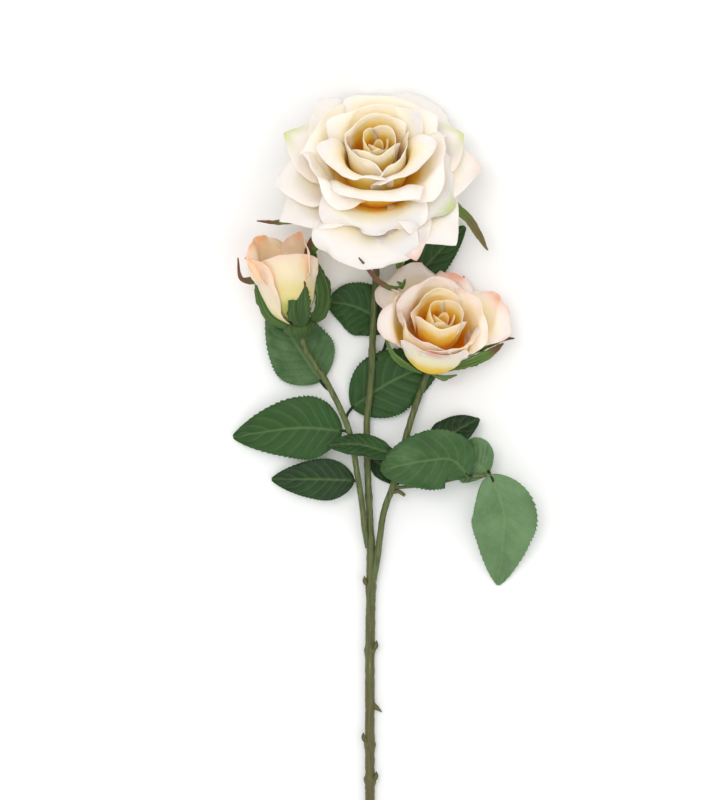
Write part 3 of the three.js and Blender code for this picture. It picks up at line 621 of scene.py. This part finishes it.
def placed_petal(profiles, kinds, own):
    """A petal of its kind, stretched so that its tip comes to its own radius and height."""
    petal = {**PETAL_DEFAULTS, **kinds[own["kind"]], **own}
    profile = np.array(profiles[own["kind"]], float)
    radius, height = own["tip"]
    share = np.linspace(0, 1, len(profile))
    profile[:, 0] *= 1 + (radius / profile[-1, 0] - 1) * share
    profile[:, 1] += (height - profile[-1, 1]) * share**1.3
    profile[:, 0] += petal["layer"] * 0.5
    profile[:, 1] -= petal["layer"] * 0.5
    petal["profile"] = profile
    return petal


def petal_at(kind, azimuth, layer, tip, **own):
    """A petal's kind, place and tip (radius and height), and what sets it apart."""
    return {"kind": kind, "azimuth": azimuth, "layer": layer, "tip": tip, **own}


OPEN_PETALS = [
    petal_at("wall", 100, 0, (14.5, 43)),
    petal_at("wall", -145, 1, (14.5, 41), warm=0.34),
    petal_at("wall", -30, 2, (15, 40), warm=0.34),
    petal_at("lip", -36, 0, (25, 29), skew=-0.1),
    petal_at("lip", -136, 2, (24, 29.5), width=21, skew=0.1),
    petal_at("back", 95, 1, (21, 41), width=25),
    petal_at("spread", -166, 0, (36, 30), width=25, skew=0.05),
    petal_at("spread", 0, 1, (35, 33), width=25, skew=-0.05),
    petal_at("lip", -98, 6, (26.5, 26), width=26, cup=(0.06, 0.02), warm=0.2, sharp=3.4),
    petal_at("back", 76, 3, (30, 38), width=26, cup=(0.06, 0.025)),
    petal_at("back", 142, 4, (33, 34), width=24, cup=(0.06, 0.02)),
    petal_at("half", -94, 2, (37, 8), width=28, sharp=3.0, warm=0.16),
    petal_at("half", -28, 1, (43, 5), green=0.9, width=26),
    petal_at("open", -42, 3, (51, -3)),
    petal_at("open", -99, 3, (50, -2), width=27, sharp=2.4, shoulder=0.34),
    petal_at("open", -67, 4.4, (48, 0), pink=0.9, width=19),
    petal_at("open", 8, 2.6, (53, 6), pink=0.5),
    petal_at("open", 30, 0.8, (51, 12), green=0.9),
    petal_at("open", 64, 2, (55, 12), sharp=2.4, shoulder=0.34),
    petal_at("open", 95, 0.8, (54.5, 8.4), sharp=2.4, shoulder=0.34),
    petal_at("open", 121, 2.4, (55, 12)),
    petal_at("open", 150, 0.4, (55, 8), green=0.9),
    petal_at("open", -178, 1.8, (52, 5)),
    petal_at("open", -155, 3, (53, 1)),
]
SIDE_PETALS = [
    petal_at("wall", 122, 0, (13, 37), width=16, cup=(0.1, 0.07)),
    petal_at("lip", -44, 0, (22, 30), width=21, cup=(0.08, 0.06), roll=35),
    petal_at("lip", -128, 1, (21.5, 31), width=22, cup=(0.08, 0.06), roll=35, pink=0.6),
    petal_at("lip", 36, 1, (20, 36)),
    petal_at("lip", 118, 2, (21, 38), width=20),
    petal_at("lip", -88, 3, (21.5, 26), width=20, fold=(0.85, 0.7), roll=40, pink=0.7),
    petal_at("open", 46, 2, (36, 28), pink=0.9, width=20),
    petal_at("open", 88, 3, (31, 30), width=17, pink=1.0),
    petal_at("open", 124, 1, (39, 29), width=24),
    petal_at("open", 170, 1.6, (25, 31), width=18, pink=0.2),
]
BUD_PETALS = [
    petal_at("lip", 145, 0, (15, 46), width=20, roll=60, pink=1.0),
    petal_at("wall", 20, 1, (11, 45), width=18, pink=0.8),
    petal_at("wall", -98, 2, (12.5, 39), warm=0.3, blush=0.15),
    petal_at("lip", -172, 3, (19, 40), width=16, fold=(0.9, 0.75), roll=40, pink=0.2),
]


OPEN_HEART = {"radius": 10.5, "height": 41, "foot": 2.5}
SIDE_HEART = {"radius": 11.5, "height": 33, "foot": 2}
BUD_HEART = {"radius": 9, "height": 30, "foot": 1}

# A heart's petals, innermost first: azimuth, shares of its radius and height, and notch.
HEART_ROLLS = (
    (60, 0.24, 0.84, 0.0),
    (-125, 0.36, 0.88, 0.0),
    (-50, 0.52, 0.95, 0.15),
    (165, 0.66, 0.97, 0.0),
    (35, 0.8, 0.98, 0.0),
    (-85, 0.95, 1.0, 0.1),
)
# This many of them, from the innermost, have a deeper colour.
DEEP_ROLLS = 4


def heart_petals(radius, height, foot):
    """The innermost petals, tightly rolled, each inside the next."""
    petals = []
    for i, (azimuth, share, tall, notch) in enumerate(HEART_ROLLS):
        r = radius * share
        petal = {
            **PETAL_DEFAULTS,
            "azimuth": azimuth,
            "profile": (
                (0.5 + 0.15 * i, foot),
                (r * 0.85, foot + height * 0.33 * tall),
                (r, foot + height * 0.68 * tall),
                (r * 0.98, foot + height * tall),
            ),
            "width": r * 1.5,
            "cup": (1.1 / r, 0.92 / r),
            "fold": (0.9, 0.75),
            "roll": 45,
            "tight": 1.5,
            "twist": 6,
            "shoulder": 0.16,
            "point": 0.01,
            "notch": notch,
            "claw": 0.3,
            "ruffle": 0.6,
            "warm": 0.58 if i < DEEP_ROLLS else 0.46,
        }
        petals.append(petal)
    return petals


def add_flower(prefix, place, profiles, kinds, own_petals, heart, material):
    """A flower's heart and its petals, each a piece that stands in for its CAD node."""
    matrix = flower_frame(place)
    rolled = enumerate(heart_petals(**heart))
    parts = [petal_part(petal, 90 + i, HEART_GRID) for i, petal in rolled]
    piece = make_object(f"{prefix}_heart_detail", parts, material, matrix)
    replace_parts(piece, f"{prefix}_heart")
    for i, own in enumerate(own_petals):
        name = f"{prefix}_petal_{i + 1:02d}"
        part = petal_part(placed_petal(profiles, kinds, own), i, PETAL_GRID)
        piece = make_object(f"{name}_detail", [part], material, matrix)
        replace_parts(piece, name)


# ---- Stems and blades ----------------------------------------------------------------


def on_axis(place, height):
    """A point on a flower's axis, that far above where its petals are attached."""
    matrix, origin = flower_frame(place)
    return tuple(origin + matrix @ np.array([0, 0, height]))


def into_hip(place, foot, run):
    """The last points of the stalk that carries a flower."""
    return on_axis(place, foot - run), on_axis(place, foot + 1)


def on_path(path, axis, value):
    """The first point where a smooth path reaches a value on one axis."""
    points = curve(path, np.linspace(0, 1, 401))
    return tuple(points[np.argmax(points[:, axis] >= value)])


# A hip's outline, as radius and height in its flower's frame.
OPEN_HIP = ((0.01, -16), (2.4, -16), (4.6, -13), (6.2, -8.5), (6, -4.5), (4.8, -2.2), (0.01, -2.2))
SIDE_HIP = [(r * 0.8, z * 0.75) for r, z in OPEN_HIP]
BUD_HIP = [(r * 1.3, z * 0.62) for r, z in OPEN_HIP]

STEM_PATH = [
    (0.5, -STEM_LENGTH_BELOW_FORK, STEM_RADIUS),
    (0, -120, 3.2),
    (0, -60, 3.6),
    (0.5, 0, 4.5),
    (-1, 32, 5.5),
    (-1.5, 62, 6),
    (0.5, 82, 6.5),
    (1.5, 107, 7),
    (3, 135, 6.5),
    (3.3, 154, 5.5),
    *into_hip(OPEN_ROSE, OPEN_HIP[0][1], 4),
]
BUD_STALK_PATH = [
    (-1, -2, 4.5),
    (-2.6, 7, 6.5),
    (-4, 20, 8.5),
    (-6.5, 36, 10),
    (-10.5, 57, 12),
    (-21.5, 81, 13),
    *into_hip(BUD, BUD_HIP[0][1], 6),
]
SIDE_STALK_PATH = [
    (1.5, -20, 4.5),
    (3.6, -8, 6),
    (7, 16, 8.5),
    (11.5, 29, 9),
    (15, 42, 9),
    (20.5, 62, 8),
    *into_hip(SIDE_ROSE, SIDE_HIP[0][1], 1.5),
]
RACHIS_PATH = [on_path(SIDE_STALK_PATH, 1, 28), (30, 30, 11), (48, 34, 13), (60.5, 34.8, 13.6)]
TWIG_PATH = [on_path(BUD_STALK_PATH, 1, 79), (-26, 88, 9.5), (-35.5, 99.5, 7)]
STUB_PATH = [on_path(SIDE_STALK_PATH, 1, 26), (14.6, 26.4, 10), (17.6, 24.4, 10)]
# The stem's nodes: those below the fork carry an eye each, those above it are bare.
COLLAR_HEIGHTS = (-119, -101, -53.5, -21.5)
UPPER_COLLAR_HEIGHTS = (24, 51, 98)
THORN_HEIGHT = -84


def stem_radius(points):
    """The main stem: thinner above the fork, and swollen where it has a node."""
    y = points[:, 1]
    radius = STEM_RADIUS + (STALK_RADIUS - STEM_RADIUS) * smooth(y, -2, 9)
    for i, height in enumerate(COLLAR_HEIGHTS + UPPER_COLLAR_HEIGHTS):
        above = y - height
        breadth = np.where(above > 0, 1.2, 2.8)
        radius += (0.75 - 0.08 * i) * np.exp(-((above / breadth) ** 2))
    return radius


def even_radius(radius, taper=0.0):
    """A rod's radius, which may grow thinner towards its end."""

    def at(points):
        share = np.linspace(0, 1, len(points))
        return radius * (1 - taper * share**2)

    return at


def along_curve(path, count):
    """Evenly spaced points on a smooth path, with their directions."""
    dense = curve(path, np.linspace(0, 1, 600))
    run = np.concatenate([[0], np.cumsum(np.linalg.norm(np.diff(dense, axis=0), axis=1))])
    wanted = np.linspace(0, run[-1], count)
    points = np.stack([np.interp(wanted, run, dense[:, k]) for k in range(3)], -1)
    return points, unit(np.gradient(points, axis=0))


def tube_faces(count, sides):
    """Faces of a closed tube whose rings turn clockwise about its direction."""
    at = np.arange(count * sides).reshape(count, sides)
    ahead = np.roll(at, -1, 1)
    faces = np.stack([at[:-1], at[1:], ahead[1:], ahead[:-1]], -1).reshape(-1, 4)
    return [list(face) for face in faces] + [list(at[0]), list(at[-1][::-1])]


def rod_part(path, radius, count, sides, seed, rough=0.08, cut=0.0, brown=0.0):
    """A woody rod on a smooth path, a little uneven, with a slanted cut at its start."""
    points, ahead = along_curve(path, count)
    across = unit(np.cross(ahead, (0.0, 0.0, 1.0)))
    above = np.cross(across, ahead)
    angle = np.linspace(0, 2 * np.pi, sides, endpoint=False)
    ring = (
        across[:, None] * np.cos(angle)[None, :, None]
        + above[:, None] * np.sin(angle)[None, :, None]
    )
    size = radius(points)[:, None] * np.ones(sides)
    size = size * (1 + rough * fractal(points[:, None] + ring * size[..., None], 0.35, seed, 3))
    size = np.minimum(size, (points[:, 2] / np.maximum(-ring[..., 2].T, 1e-3)).T)
    body = points[:, None] + ring * size[..., None]
    body[0] += ahead[0] * (cut * size[0] * (1 + np.cos(angle)))[:, None]
    share = np.linspace(0, 1, count)
    return body.reshape(-1, 3), tube_faces(count, sides), {
        "brown": np.repeat(brown * (1 - smooth(share, 0.05, 0.7)), sides),
        "light": np.repeat((share == 0) * min(cut * 2, 1.0), sides),
    }


def thorn_part(height):
    """A hooked thorn on the stem's right side, and its broad foot."""
    x, y, z = on_path(STEM_PATH, 1, height)
    path = [(x + 1.4, y + 1, z), (x + 3.6, y - 0.3, z + 0.3), (x + 6.2, y - 2.4, z + 0.2)]

    def taper(points):
        return 1.9 * (1 - np.linspace(0, 0.98, len(points))) ** 0.8

    return rod_part(path, taper, 16, 12, 5, rough=0.03, brown=1.0)


def eye_part(height, side):
    """The small pointed bud that sits over a leaf scar."""
    x, y, z = on_path(STEM_PATH, 1, height)
    path = [
        (x + 2.0 * side, y - 0.6, z + 1),
        (x + 3.1 * side, y + 1.4, z + 1.3),
        (x + 3.3 * side, y + 4, z + 1.3),
    ]

    def taper(points):
        share = np.linspace(0, 1, len(points))
        return 1.15 * np.sin(np.pi * (0.25 + 0.74 * share)) ** 0.8 + 0.05

    return rod_part(path, taper, 14, 10, 8, rough=0.06, brown=0.6)


# A leaf or sepal has these where it gives none of its own: which way its face looks, where
# along it is widest, how far its halves fold up in degrees, how tightly they curl back,
# and how pointed its tip is.
BLADE_DEFAULTS = {"facing": (0, 0, 1), "widest": 0.42, "fold": 9, "curl": 0.006, "tip": 0.8}
SEPAL_DEFAULTS = {**BLADE_DEFAULTS, "widest": 0.28, "tip": 0.9, "brown": 0.9, "dark": 0.0}


def outline(s, widest, tip):
    """How broad a blade is along its length, as a share of its widest."""
    t = np.where(s < widest, 0.5 * s / widest, 0.5 + 0.5 * (s - widest) / (1 - widest))
    rounded = np.sin(np.pi * np.clip(t, 0, 1))
    return np.where(s < widest, rounded**0.6, rounded**tip)


def blade_grid(blade, along, across, half, rise):
    """Points on a blade: path, facing and cross-section, plus a rise off its surface."""
    facing = unit(np.array(blade["facing"], float))
    centre = curve(blade["path"], along)
    ahead = unit(curve(blade["path"], along + 1e-3) - curve(blade["path"], along - 1e-3))
    sideways = unit(np.cross(ahead, facing))
    up = np.cross(sideways, ahead)
    out, lift = arc(
        -blade["curl"] * np.ones_like(along),
        math.radians(blade["fold"]),
        np.abs(across) * half,
    )
    return (
        centre
        + sideways * (out * np.sign(across))[..., None]
        + up * (lift + rise)[..., None]
    )


LEAF_TEETH = 25
VEIN_PAIRS = 8


def leaf_part(leaf, number):
    """A serrated leaflet with sunken veins and a softly waving edge."""
    rows, columns = 220, 30
    along, across = np.meshgrid(
        np.linspace(0, 1, rows + 1), np.linspace(-1, 1, columns + 1), indexing="ij"
    )
    side = np.abs(across)
    phase = (along * LEAF_TEETH + 0.3 * np.sign(across)) % 1
    size = 0.05 + 0.015 * np.sin(along * 37 + number)
    toothed = smooth(along, 0.06, 0.2) * (1 - smooth(along, 0.95, 1))
    serration = 1 + size * (phase**1.4 - 0.5) * toothed
    half = leaf["width"] * outline(along, leaf["widest"], leaf["tip"]) + PETIOLE_RADIUS
    reach = np.where(side > 0.93, half * serration, half)
    vein_phase = (along - 0.2 * side - 0.07 * side**2) * VEIN_PAIRS + 0.12 * np.sign(across)
    near = np.abs((vein_phase + 0.5) % 1 - 0.5)
    side_vein = np.exp(-((near / 0.09) ** 2)) * (1 - smooth(side, 0.7, 0.98))
    side_vein *= smooth(along, 0.02, 0.1) * smooth(side, 0.0, 0.1)
    midrib = np.exp(-((side * half / (0.5 + 0.25 * (1 - along))) ** 2))
    pillow = (near * 2) ** 0.7 * smooth(side, 0, 0.2) * (1 - smooth(side, 0.8, 1))
    waves = fractal(np.stack([along * 4, across * 1.6], -1), 1.0, number + 11)
    ripple = fractal(np.stack([along * 11, across * 4], -1), 1.0, number + 31)
    rise = 0.5 * pillow - 0.35 * midrib + (1.5 * waves + 0.35 * ripple) * smooth(side, 0.2, 1)
    middle = blade_grid(leaf, along, across, reach, rise)
    thickness = LEAF_THICKNESS * (1 - 0.5 * side**4) + 0.4 * midrib
    # A leaflet that would dip into the floor is lifted, most where it is lowest.
    low = middle[..., 2].min() - LEAF_THICKNESS
    middle[..., 2] += max(-low, 0) * np.exp(-np.maximum(middle[..., 2] - 0.3, 0) / 3)
    points, faces = shell(middle, thickness)
    count = along.size
    # The grid runs base to tip by left to right, so its first side looks down.
    under = np.concatenate([np.ones(count), np.zeros(count)])
    return points, faces, {
        "vein": np.tile(np.clip(0.4 * side_vein + 0.9 * midrib, 0, 1).ravel(), 2),
        "under": under,
        # How light this leaflet's green is painted, its highest values partly a painted sheen.
        "light": leaf["light"],
    }


def sepal_part(sepal, number):
    """A narrow sepal with ragged edges and a long, drying tip."""
    rows, columns = 70, 12
    along, across = np.meshgrid(
        np.linspace(0, 1, rows + 1), np.linspace(-1, 1, columns + 1), indexing="ij"
    )
    edge = np.stack([along * 16, np.sign(across) * 3], -1)
    ragged = 1 + 0.22 * fractal(edge, 1.0, number + 70, 3)
    width = outline(along, sepal["widest"], sepal["tip"]) * (1 - 0.4 * smooth(along, 0.45, 0.8))
    half = (sepal["width"] * width + 0.3) * np.where(np.abs(across) > 0.8, ragged, 1)
    ribs = 0.16 * np.cos(across * 9) * smooth(half, 0.8, 2.5)
    middle = blade_grid(sepal, along, across, half, ribs)
    points, faces = shell(middle, SEPAL_THICKNESS * (1 - 0.6 * np.abs(across) ** 2))
    return points, faces, {
        "along": np.tile(along.ravel(), 2),
        "across": np.tile(across.ravel(), 2),
        "brown": np.tile((sepal["brown"] * smooth(along, 0.6, 0.82)).ravel(), 2),
        "dark": sepal["dark"],
        "number": float(number),
    }


def hip_part(profile, place, dark):
    """The swollen hip, turned round the flower's axis, with faint ribs."""
    sides, count = 60, 40
    p = np.array([(r, 0, z) for r, z in profile], float)
    line = curve(p, np.linspace(0, 1, count))
    angle = np.linspace(0, 2 * np.pi, sides, endpoint=False)
    rib = 1 + 0.05 * np.cos(10 * angle)[None] * smooth(line[:, 2], -14, -8)[:, None]
    r = np.maximum(line[:, 0], 0.02)[:, None] * rib
    body = np.stack([r * np.cos(angle), r * np.sin(angle), line[:, 2:3] * np.ones(sides)], -1)
    at = np.arange(count * sides).reshape(count, sides)
    faces = np.stack([at[:-1], np.roll(at[:-1], -1, 1), np.roll(at[1:], -1, 1), at[1:]], -1)
    faces = [list(face) for face in faces.reshape(-1, 4)] + [list(at[0][::-1]), list(at[-1])]
    matrix, origin = flower_frame(place)
    points = body.reshape(-1, 3) @ matrix.T + origin
    return points, faces, {
        "along": np.repeat(np.linspace(0, 0.5, count), sides),
        "across": np.tile(3 * np.cos(angle), count),
        "dark": dark,
    }


# Each sepal's path is given from where its flower's petals are attached.
OPEN_SEPALS = [
    {
        "path": ((-3.5, -7, -2.5), (-25.5, -11, -3.5), (-47.5, -17.5, -5.5), (-60, -17, -3.5)),
        "facing": (0, 0.2, 1), "width": 2.4,
    },
    {
        "path": ((5.5, -12, -6.5), (11, -34, -14), (11.5, -49, -7), (3, -49, 9), (-9, -37, 30)),
        "facing": (-0.2, -0.5, 0.8), "width": 2.4, "widest": 0.7,
    },
    {
        "path": ((2.5, -5, -4.5), (24.5, -5, -3.5), (42.5, -13, -3.5), (55.5, -31.5, -6.5)),
        "facing": (0.3, 0.2, 1), "width": 3.4, "widest": 0.8, "brown": 0.6,
    },
    {
        "path": ((-3.5, -1, -9.5), (-19.5, 13, -16.5), (-31.5, 27, -18.5)),
        "facing": (0, -0.5, 1), "width": 3,
    },
    {
        "path": ((4.5, 0, -10.5), (16.5, 13, -16.5), (26.5, 29, -19.5)),
        "facing": (0, -0.5, 1), "width": 3,
    },
]
SIDE_SEPALS = [
    {
        "path": ((-5.5, -10, -5), (-13, -6, 0), (-20, 0, 4), (-24, 8, 6)),
        "facing": (-0.9, -0.6, 0.5), "width": 5, "brown": 0.0,
    },
    {
        "path": ((-2.5, -9, -6), (4, -12, 0), (12, -11, 4)),
        "facing": (0.3, -0.9, 0.6), "width": 4.5, "brown": 0.2,
    },
    {
        "path": ((0.5, -9, -6), (17.5, -5, -3), (28.5, 0, -3), (35.5, 5, -1)),
        "facing": (0, -0.3, 1), "width": 2.8, "widest": 0.7,
    },
    {
        "path": ((2.5, -6, -7), (20.5, 2, -7), (34.5, 7, -7), (41, 7.5, -3)),
        "width": 2.2,
    },
    {
        "path": ((-0.5, -2, -7), (8, 19, -9), (16, 39, -10)),
        "width": 2.6,
    },
]
BUD_SEPALS = [
    {
        "path": (
            (-3, -5.5, 1.5), (-14, 2, 2.5), (-18.5, 12, 3.5), (-19.5, 18, 4.5), (-28, 19.5, 5.5),
            (-30, 30, 5.5),
        ),
        "facing": (-0.6, 0, 0.8), "width": 3.6, "widest": 0.24, "dark": 0.7,
    },
    {
        "path": ((2, -4, 7.5), (1, 3, 13.5), (1.5, 10.5, 15.5), (2, 16.5, 16), (-3.5, 21, 17.5)),
        "facing": (0, -0.3, 1), "width": 5.6, "widest": 0.22, "dark": 1.0,
    },
    {
        "path": (
            (6, -3.5, -0.5), (11.5, 4.5, 2.5), (12, 14.5, 4.5), (6, 28.5, 6.5), (4.6, 33.5, 6.5),
            (9, 44, 7.5),
        ),
        "facing": (0.6, 0, 0.8), "width": 5, "widest": 0.3, "dark": 0.8,
    },
    {
        "path": ((2, -2.5, -8.5), (8, 20, -8.5), (7, 34.5, 3.5), (19, 42, 5.5)),
        "width": 3.4, "widest": 0.8, "brown": 0.3,
    },
]


def sepal_of(place, sepal):
    """A sepal with its path moved to its flower, and the defaults for what it leaves out."""
    path = [tuple(a + b for a, b in zip(place["at"], point)) for point in sepal["path"]]
    return {**SEPAL_DEFAULTS, **sepal, "path": path}


RACHIS_END = RACHIS_PATH[-1]
# Each leaflet's blade, the short stalk that carries it, and how light its green is painted: the
# highest values give a greyish green that is partly painted sheen.
LEAVES = {
    "leaf_upper": {
        "path": ((9, 108, 2), (0, 116, 2.2), (-10, 120.5, 2), (-21, 122, 1.5)),
        "width": 13, "tip": 0.6,
        "stalk": (on_path(STEM_PATH, 1, 90), (7, 98, 2.6), (9.4, 107.5, 2)),
        "light": 0.3,
    },
    "leaf_behind_bud": {
        "path": ((-25, 82, 3.5), (-35, 97, 3), (-51, 121, 1.5)),
        "width": 16,
        "stalk": (on_path(BUD_STALK_PATH, 1, 76), (-23, 79.5, 5), (-25.4, 82.6, 3.5)),
        "light": 0.62,
    },
    "leaf_centre": {
        "path": ((-9, 69, 2), (11, 82, 2.8), (37, 93, 2)),
        "width": 16,
        "stalk": (on_path(BUD_STALK_PATH, 1, 62), (-11, 66, 4), (-8.4, 69.4, 2.2)),
        "light": 0.34,
    },
    "leaf_left": {
        "path": ((-14, 57, 10), (-35, 58.5, 9), (-69, 54, 3)),
        "width": 15.5,
        "stalk": (on_path(BUD_STALK_PATH, 1, 56), (-13, 57, 10.6), (-15, 57, 10)),
        "light": 0.36,
    },
    "leaf_lower_left": {
        "path": ((-8, 32, 8), (-25, 32.5, 7), (-49.5, 32.5, 3)),
        "width": 10,
        "stalk": (on_path(BUD_STALK_PATH, 1, 31), (-7, 31.7, 8.8), (-9, 32, 8)),
        "light": 0.12,
    },
    "leaf_small": {
        "path": ((12, 45, 15), (-6, 50, 18), (-20, 49.5, 15)),
        "facing": (0, 0.5, 0.9), "width": 6,
        "stalk": (on_path(SIDE_STALK_PATH, 1, 37), (13.5, 42, 13.4), (11, 45.2, 15.2)),
        "light": 0.22,
    },
    "leaf_right": {
        "path": ((49, 35, 16), (41, 42.5, 19), (27, 42, 20), (5.5, 37.5, 16)),
        "width": 14.5, "widest": 0.56, "tip": 0.6,
        "stalk": (on_path(RACHIS_PATH, 0, 51), (50, 34.6, 15.2), (48, 35.8, 16.2)),
        "light": 0.55,
    },
    "leaf_dark": {
        "path": ((30, 44, 8), (41, 55, 9), (55, 63, 7)),
        "facing": (-0.3, 0.3, 0.8), "width": 9,
        "stalk": (on_path(SIDE_STALK_PATH, 1, 40), (23, 40.5, 8.4), (30.6, 44.6, 8)),
        "light": 0.1,
    },
    "leaf_right_upper": {
        "path": ((60, 36.5, 11), (53, 41.5, 10.5), (44, 46, 9)),
        "facing": (0, -0.25, 1), "width": 12, "widest": 0.6, "tip": 0.6,
        "stalk": (RACHIS_END, (60.2, 35.6, 11.8), (59.4, 37, 11)),
        "light": 0.75,
    },
    "leaf_drooping": {
        "path": ((60.5, 35, 14), (67, 17, 13.5), (67, 2, 9), (65, -21, 0.9)),
        "width": 16,
        "stalk": (RACHIS_END, (61.2, 33.5, 14), (62, 31.4, 14)),
        "light": 0.8,
    },
    "leaf_under_rose": {
        "path": ((12, 120, 3), (30, 142, 6), (48, 160, 5)),
        "width": 9,
        "stalk": (on_path(STEM_PATH, 1, 107), (7, 113, 4.6), (12.6, 120.8, 3)),
        "light": 0.3,
    },
    "leaf_behind_stem": {
        "path": ((1, 43, 2), (8, 37.5, 2), (15, 30, 1.6)),
        "width": 5.5,
        "stalk": (on_path(STEM_PATH, 1, 46), (-0.2, 45, 2.6), (2, 42, 2)),
        "light": 0.1,
    },
}

# ---- The spray -----------------------------------------------------------------------

# The CAD model's origin is under its middle, and this flower's is at its fork.
reference, _ = along_curve(STEM_PATH, 200)
stem_low, _ = (np.array(corner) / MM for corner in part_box("stem"))
SHIFT = np.array([
    stem_low[0] - (reference[:, 0].min() - STALK_RADIUS),
    stem_low[1] + STEM_LENGTH_BELOW_FORK,
    0.0,
])

add_flower(
    "open_rose", OPEN_ROSE, OPEN_PROFILES, OPEN_KINDS, OPEN_PETALS, OPEN_HEART, PETAL["open"]
)
add_flower(
    "side_rose", SIDE_ROSE, SIDE_PROFILES, SIDE_KINDS, SIDE_PETALS, SIDE_HEART, PETAL["side"]
)
add_flower("bud", BUD, BUD_PROFILES, BUD_KINDS, BUD_PETALS, BUD_HEART, PETAL["bud"])

for name, place, hip, sepals, dark in (
    ("open_rose_calyx", OPEN_ROSE, OPEN_HIP, OPEN_SEPALS, 0.2),
    ("side_rose_calyx", SIDE_ROSE, SIDE_HIP, SIDE_SEPALS, 0.2),
    ("bud_calyx", BUD, BUD_HIP, BUD_SEPALS, 0.9),
):
    parts = [hip_part(hip, place, dark)]
    parts += [sepal_part(sepal_of(place, sepal), i) for i, sepal in enumerate(sepals)]
    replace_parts(make_object(f"{name}_detail", parts, SEPAL), name)

RODS = {
    "stem": [
        rod_part(STEM_PATH, stem_radius, 520, 28, 3, rough=0.1, cut=0.55, brown=0.6),
        thorn_part(THORN_HEIGHT),
        *(eye_part(height, (-1) ** i) for i, height in enumerate(COLLAR_HEIGHTS)),
    ],
    "bud_stalk": [
        rod_part(BUD_STALK_PATH, even_radius(BUD_STALK_RADIUS), 160, 24, 13),
        rod_part(TWIG_PATH, even_radius(TWIG_RADIUS, 0.5), 40, 14, 15, rough=0.12, brown=0.7),
    ],
    "side_stalk": [
        rod_part(SIDE_STALK_PATH, even_radius(SIDE_STALK_RADIUS), 160, 24, 23),
        rod_part(STUB_PATH, even_radius(STUB_RADIUS, 0.2), 20, 14, 25, rough=0.12, brown=1.0),
    ],
    "rachis": [rod_part(RACHIS_PATH, even_radius(RACHIS_RADIUS), 80, 16, 33)],
}
for name, parts in RODS.items():
    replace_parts(make_object(f"{name}_detail", parts, STEM), name)

for number, (name, leaf) in enumerate(LEAVES.items()):
    blade = leaf_part({**BLADE_DEFAULTS, **leaf}, number)
    stalk = rod_part(leaf["stalk"], even_radius(PETIOLE_RADIUS), 24, 12, number)
    piece = make_object(f"{name}_detail", [blade, stalk], LEAF)
    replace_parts(piece, name)

# ---- Floor, light and camera ---------------------------------------------------------

# In metres, but for the camera's centre, which is in the growing frame.
FLOOR_HALF_SIZE = 3.0
LIGHT_AIM = (0, 0.05, 0)
CAMERA_CENTRE = (-3.25, 72.5)
CAMERA_DISTANCE = 1.6
HEIGHT_SEEN = 0.4
SENSOR_HEIGHT = 36


def floor():
    """A plain pale floor."""
    mesh = bpy.data.meshes.new("floor")
    size = FLOOR_HALF_SIZE
    mesh.from_pydata(
        [(-size, -size, 0), (size, -size, 0), (size, size, 0), (-size, size, 0)], [], [(0, 1, 2, 3)]
    )
    plane = bpy.data.objects.new("floor", mesh)
    bpy.context.collection.objects.link(plane)
    s = Shader("floor", Roughness=0.9, Specular_IOR_Level=0.1)
    drift = s.noise(s.object_place(), 8.0)
    s.set("Base Color", s.mix(drift, colour("f4f4f4"), colour("f8f8f8")))
    mesh.materials.append(s.material)


def area_light(name, place, size, power):
    """A round soft light that looks at the flowers."""
    light = bpy.data.lights.new(name, "AREA")
    light.shape = "DISK"
    light.size = size
    light.energy = power
    lamp = bpy.data.objects.new(name, light)
    lamp.location = place
    sight = Vector(LIGHT_AIM) - Vector(place)
    lamp.rotation_euler = sight.to_track_quat("-Z", "Y").to_euler()
    bpy.context.collection.objects.link(lamp)


def studio_world():
    """Even white light from all round."""
    world = bpy.data.worlds.new("studio")
    bpy.context.scene.world = world
    world.use_nodes = True
    background = world.node_tree.nodes["Background"]
    background.inputs["Color"].default_value = (1, 1, 1, 1)
    background.inputs["Strength"].default_value = 0.88


def camera():
    """A camera that looks straight down on the whole spray."""
    across, along = CAMERA_CENTRE
    centre = Vector(((SHIFT[0] + across) * MM, (SHIFT[1] + along) * MM, 0.02))
    data = bpy.data.cameras.new("camera")
    data.sensor_fit = "VERTICAL"
    data.sensor_height = SENSOR_HEIGHT
    data.lens = SENSOR_HEIGHT * CAMERA_DISTANCE / HEIGHT_SEEN
    eye = bpy.data.objects.new("camera", data)
    eye.location = centre + Vector((0, 0, CAMERA_DISTANCE))
    bpy.context.collection.objects.link(eye)
    bpy.context.scene.camera = eye


floor()
area_light("key", place=(-0.4, 0.4, 1.9), size=1.0, power=10)
area_light("fill", place=(0.7, -0.7, 1.7), size=1.6, power=5)
studio_world()
bpy.context.scene.view_settings.view_transform = "Standard"
camera()
